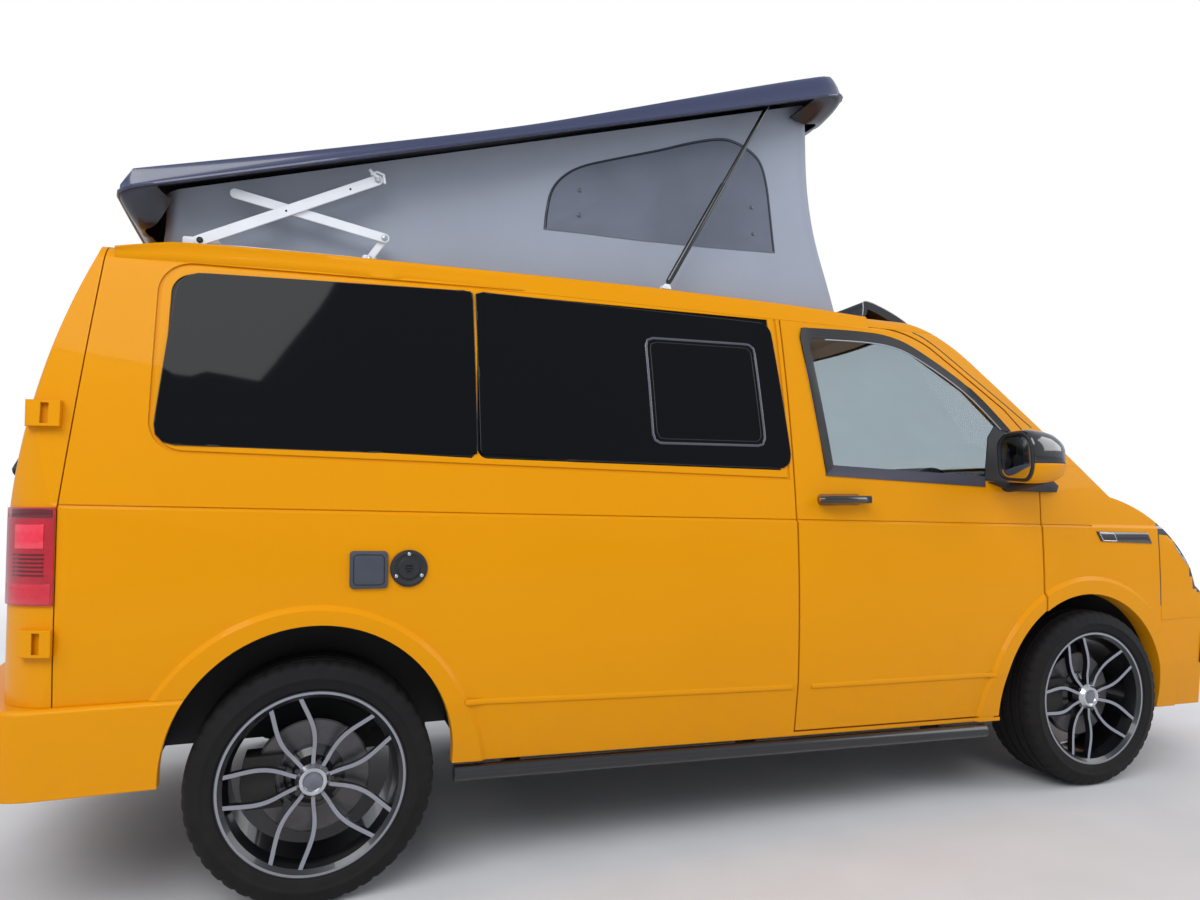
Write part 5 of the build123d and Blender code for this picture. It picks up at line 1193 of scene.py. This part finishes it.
FOG_Y, FOG_Z = 672, 0.425
FOG_BOWL = [(-26, 0.01), (-26, 30), (-8, 44), (4, 49), (6, 52), (0, 53), (-34, 53)]
FOG_LENS = [(-4, 46), (2, 42), (8, 26), (10, 0.01)]
for hand, label in HANDS:
    middle = (end_x(NOSE, hand * FOG_Y, 375) - 0.03, hand * FOG_Y / 1000, FOG_Z)
    piece(f"fog_bowl_{label}", lathe(FOG_BOWL, middle, "x", 40), "van_body", "lamp_clear", "lamp_silver",
          angle=30)
    piece(f"fog_lens_{label}", lathe(FOG_LENS, middle, "x", 40), "van_body", "clear_glass", angle=60)
    for k, (y, z, r) in enumerate(((560, 905, 52), (700, 912, 46))):
        bowl = [(2, 0.01), (2, r * 0.45), (3.5, r * 0.5), (4.5, r * 0.86), (6.5, r), (3, r * 1.06),
                (-6, r * 1.06)]
        middle = (end_x(NOSE, hand * y, z), hand * y / 1000, z / 1000)
        piece(f"lamp_ring_{k}_{label}", lathe(bowl, middle, "x", 40), "van_body", "lamp_clear",
              "lamp_silver", angle=30)
bars = []
for z in (812, 858, 904):
    found = [(end_x(NOSE, y, z - 8), y) for y in range(-480, 481, 60)]
    bars.append(sweep([Vector((x + 0.004, y / 1000, (z - 6) / 1000)) for x, y in found if x], 0.0045, 10))
piece("grille_brights", join(bars), "van_body", "bare_steel", "machined", angle=50)

# Headlamp's side: the wing comes up to a narrow pale lens
LENS_TREE = tree_of("headlamps", "front_wings", "front_bumper")
plate("wing_corner_right", [(3400, 1000), (3477, 992), (3503, 930), (3606, 822), (3680, 730), (3690, 640),
                            (3400, 640)], 1.4, "body_paint", step=25, tree=LENS_TREE)
plate("lamp_edge_right", [(3479, 991), (3546, 990), (3640, 850), (3660, 800), (3606, 824), (3503, 932)], 2.5,
      "lamp_clear", "lamp_silver", step=25, tree=LENS_TREE, bevel=0.001)

# Rear doors' upper outer corners, where the skin turns forward behind the seam
CORNER = ((-753, 1772), (-753, 1849), (-652, 1849))
corner = [at(-639.5 + 0.4 * (z - 1832) - 0.2685 * (y + 756) + deep, y, z)
          for deep in (0.0, 8.0) for y, z in CORNER]
pair("rear_door_corner_right", (corner, [(0, 1, 2), (5, 4, 3), (0, 3, 4, 1), (1, 4, 5, 2), (2, 5, 3, 0)]),
     "rear_door_body_right", "body_paint")

# Rear wipers and handle
WIPER_HUB = [(0, 0.01), (0, 18), (-26, 16), (-30, 10), (-30, 0.01)]
for hand, label in HANDS:
    foot_to_tip = [(hand * y, z) for y, z in ((420, 1262), (380, 1300), (260, 1420), (150, 1530))]
    skin = [Vector((end_x(TAIL, y, z, -1), y / 1000, z / 1000)) for y, z in foot_to_tip]
    shapes = [sweep([p - Vector((0.022, 0, 0)) for p in skin], [0.012, 0.009, 0.006, 0.004], 10),
              lathe(WIPER_HUB, skin[0], "x", 24)]
    piece(f"rear_wiper_{label}", join(shapes), f"rear_door_body_{label}", "black_trim")
grip_line = [Vector((end_x(TAIL, y, 1130, -1) - 0.016, y / 1000, 1.13)) for y in range(-70, -300, -28)]
grip_radii = [0.008] + [0.013] * (len(grip_line) - 2) + [0.008]
piece("rear_handle", sweep(grip_line, grip_radii, 14, flat=0.9), "rear_door_body_right", "gloss_black",
      angle=60)


# Seats and bench

def pad(name, outline, y0, y1, node=None, grooves=0, puff=5):
    """A stuffed part of a seat from its side outline: subdivided, crowned, with sewn channels across it."""
    wide = max(4, int((y1 - y0) / 42))
    line = even(rounded(outline, 34, 4), 30)
    middle = sum(line, Vector((0, 0))) / len(line)
    rings = []
    for k in range(wide + 1):
        t = k / wide
        edge = sin(pi * min(1.0, max(0.0, 0.04 + t * 0.92)))
        channel = 3.5 * max(0.0, cos(2 * pi * grooves * t)) ** 12 if grooves else 0.0
        ring = []
        for p in line:
            away = p - middle
            rise = puff * edge ** 0.6 - channel
            q = middle + away * (0.965 + 0.035 * edge ** 0.5) + away.normalized() * rise
            ring.append(at(q.x, y0 + (y1 - y0) * t, q.y))
        rings.append(ring)
    obj = piece(name, stack(rings), "van_body", "seat_cloth", levels=1, angle=60)
    if node:
        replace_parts(obj, node)


# A front seat: station of its back's foot, cushion height, back's height over it, half width, place across
SEAT_X, SEAT_Z, SEAT_BACK, SEAT_HALF, SEAT_Y = 1740, 860, 520, 250, 405
for hand, label in HANDS:
    x, z, y = SEAT_X, SEAT_Z, hand * SEAT_Y
    y0, y1, top = y - SEAT_HALF, y + SEAT_HALF, SEAT_Z + SEAT_BACK
    pad(f"seat_{label}_cushion", [(x + 30, z - 108), (x + 540, z - 105), (x + 548, z + 4), (x + 130, z - 22),
                                  (x + 60, z - 30)], y0 + 8, y1 - 8, "front_seats", grooves=2)
    pad(f"seat_{label}_back", [(x, z - 90), (x + 112, z - 20), (x + 60, z + 300), (x + 36, top - 6),
                               (x - 76, top), (x - 60, z + 300)], y0 + 8, y1 - 8, grooves=2)
    pad(f"seat_{label}_headrest_0", [(x - 86, top + 22), (x - 12, top + 18), (x - 14, top + 160),
                                     (x - 84, top + 166)], y - 122, y + 122, puff=4)
    piece(f"seat_{label}_base", cuboid((x + 66, y0 + 40, 502 - FALL * x), (x + 456, y1 - 40, z - 112)),
          "van_body", "cabin_plastic", bevel=0.012)
    stems = [sweep([at(1690, y + d, 1370), at(1688, y + d, 1410)], 0.006, 10) for d in (-60, 60)]
    piece(f"seat_{label}_stems", join(stems), "van_body", "bare_steel", "machined", angle=50)
pad("bench_cushion", [(560, 768), (1040, 762), (1046, 872), (600, 852)], -392, 792, "rear_bench", grooves=4)
pad("bench_back", [(456, 772), (560, 850), (500, 1120), (452, 1288), (384, 1290), (410, 1060)], -392, 792,
    grooves=4)
piece("bench_box", cuboid((520, -380, 490), (1010, 780, 762)), "van_body", "cabinet_board", bevel=0.006)


# Dashboard, wheel cover and camper unit

TILT, RIM_RADIUS = radians(38), 0.185
rim_line = []
for k in range(48):
    turn = 2 * pi * k / 48
    up = RIM_RADIUS * sin(turn)
    rim_line.append(at(2350, -385, 1105) + Vector((sin(TILT) * up, RIM_RADIUS * cos(turn), cos(TILT) * up)))
piece("steering_rim_cover", sweep(rim_line, 0.0165, 14, closed=True), "steering_body", "cabin_plastic",
      "gloss_black", angle=60)
piece("dash_screen", cuboid((2560, -110, 1080), (2578, 120, 1196)), "van_body", "gloss_black", bevel=0.006)
vents = [cuboid((2508, y - 50, z), (2530, y + 50, z + 5))
         for y in (-690, -180, 200, 640) for z in (1120, 1134, 1148)]
piece("dash_vents", join(vents), "van_body", "gloss_black", "slide_edge", bevel=0.001)
TOP_PAD = [(2560, 1180), (2600, 1240), (2690, 1268), (2790, 1272), (2830, 1240), (2800, 1200)]
BINNACLE = [(2440, 1190), (2470, 1262), (2560, 1290), (2640, 1262), (2620, 1190), (2480, 1168)]
for name, outline, middle_x, places in (("dash_top_pad", TOP_PAD, 2690, (-735, -715, -300, 300, 715, 735)),
                                        ("dash_binnacle", BINNACLE, 2540, (-530, -500, -270, -240))):
    rings = []
    for y in places:
        narrow = 0.9 if y in (places[0], places[-1]) else 1.0
        rings.append([at(middle_x + (x - middle_x) * narrow, y, z) for x, z in smooth_loop(outline, 4)])
    piece(name, loft(rings), "van_body", "cabin_plastic")
KNOB = [(0, 0.01), (0, 9), (7, 9), (8, 13), (12, 13), (13, 0.01)]
doors, knobs = [], []
for x0, x1, z0, z1 in ((-600, -150, 878, 1250), (-130, 430, 878, 1245),
                       (470, 950, 560, 1235), (970, 1480, 560, 1230)):
    doors.append(cuboid((x0, -430, z0), (x1, -424, z1)))
    knobs.append(lathe(KNOB, at((x0 + x1) / 2, -424, z1 - 40), sides=24))
piece("unit_doors", join(doors), "van_body", "cabinet_board", bevel=0.002)
piece("unit_knobs", join(knobs), "van_body", "bare_steel", "machined", angle=30)


# Camera, lights and floor

def add_object(name, data):
    """An object that is linked to the scene."""
    obj = bpy.data.objects.new(name, data)
    bpy.context.scene.collection.objects.link(obj)
    return obj


lens = bpy.data.cameras.new("camera")
lens.lens, lens.sensor_width, lens.clip_end = 25.5, 36, 200
camera = add_object("camera", lens)
camera.location = (-1.497, -3.561, 1.185)
yaw, pitch, roll = radians(19.29), radians(2.87), radians(-0.17)
ahead = Vector((sin(yaw) * cos(pitch), cos(yaw) * cos(pitch), sin(pitch)))
camera.rotation_mode = "QUATERNION"
camera.rotation_quaternion = ahead.to_track_quat("-Z", "Y") @ Euler((0, 0, roll)).to_quaternion()
bpy.context.scene.camera = camera

floor_mesh = bpy.data.meshes.new("floor")
disc = bmesh.new()
bmesh.ops.create_circle(disc, cap_ends=True, segments=96, radius=60)
disc.to_mesh(floor_mesh)
disc.free()
floor_mat = shade("floor", (0.66, 0.66, 0.67, 1), 0.9, vary=0.04, scale=3, bump=0.3, bump_scale=300)
tree = floor_mat.node_tree
far = add_node(tree, "Emission", {"Color": (1, 1, 1, 1), "Strength": 1.0})
spot = add_node(tree, "TexCoord").outputs["Object"]
reach = add_node(tree, "VectorMath", {0: spot}, operation="LENGTH").outputs["Value"]
fade = add_node(tree, "MapRange", {"From Min": 4.5, "From Max": 11.0, "Value": reach},
                interpolation_type="SMOOTHSTEP").outputs["Result"]
seen = add_node(tree, "LightPath").outputs["Is Camera Ray"]
both = add_node(tree, "Math", {0: fade, 1: seen}, operation="MULTIPLY")
blend = add_node(tree, "MixShader", {"Fac": both.outputs[0], 1: tree.nodes["Principled BSDF"].outputs[0],
                                     2: far.outputs[0]})
tree.links.new(blend.outputs[0], tree.nodes["Material Output"].inputs["Surface"])
floor_mesh.materials.append(floor_mat)
add_object("floor", floor_mesh)

world = bpy.data.worlds.new("world")
bpy.context.scene.world = world
world.use_nodes = True
tree = world.node_tree
background = tree.nodes["Background"]
background.inputs["Color"].default_value = (0.86, 0.91, 1.0, 1)
background.inputs["Strength"].default_value = 0.66
sky = add_node(tree, "Background", {"Color": (1, 1, 1, 1), "Strength": 1.0})
mix = add_node(tree, "MixShader", {"Fac": add_node(tree, "LightPath").outputs["Is Camera Ray"],
                                   1: background.outputs["Background"], 2: sky.outputs["Background"]})
tree.links.new(mix.outputs["Shader"], tree.nodes["World Output"].inputs["Surface"])


def lamp(name, place, target, size, power, mirrored=True):
    """A soft rectangular studio lamp aimed at a point, seen in glossy surfaces or not."""
    data = bpy.data.lights.new(name, "AREA")
    data.shape = "RECTANGLE"
    data.size, data.size_y = size
    data.energy = power
    obj = add_object(name, data)
    obj.location = place
    obj.visible_glossy = mirrored
    obj.rotation_mode = "QUATERNION"
    obj.rotation_quaternion = (Vector(target) - Vector(place)).to_track_quat("-Z", "Y")


lamp("key", (-5.0, -6.5, 7.5), (0, 0, 1.0), (9, 5), 590)
lamp("fill", (7.5, -4.0, 4.5), (0, 0, 1.2), (5, 5), 200)
lamp("back", (0, 8.0, 7.0), (0, 0, 1.2), (9, 5), 480, mirrored=False)
bpy.context.scene.view_settings.view_transform = "Standard"
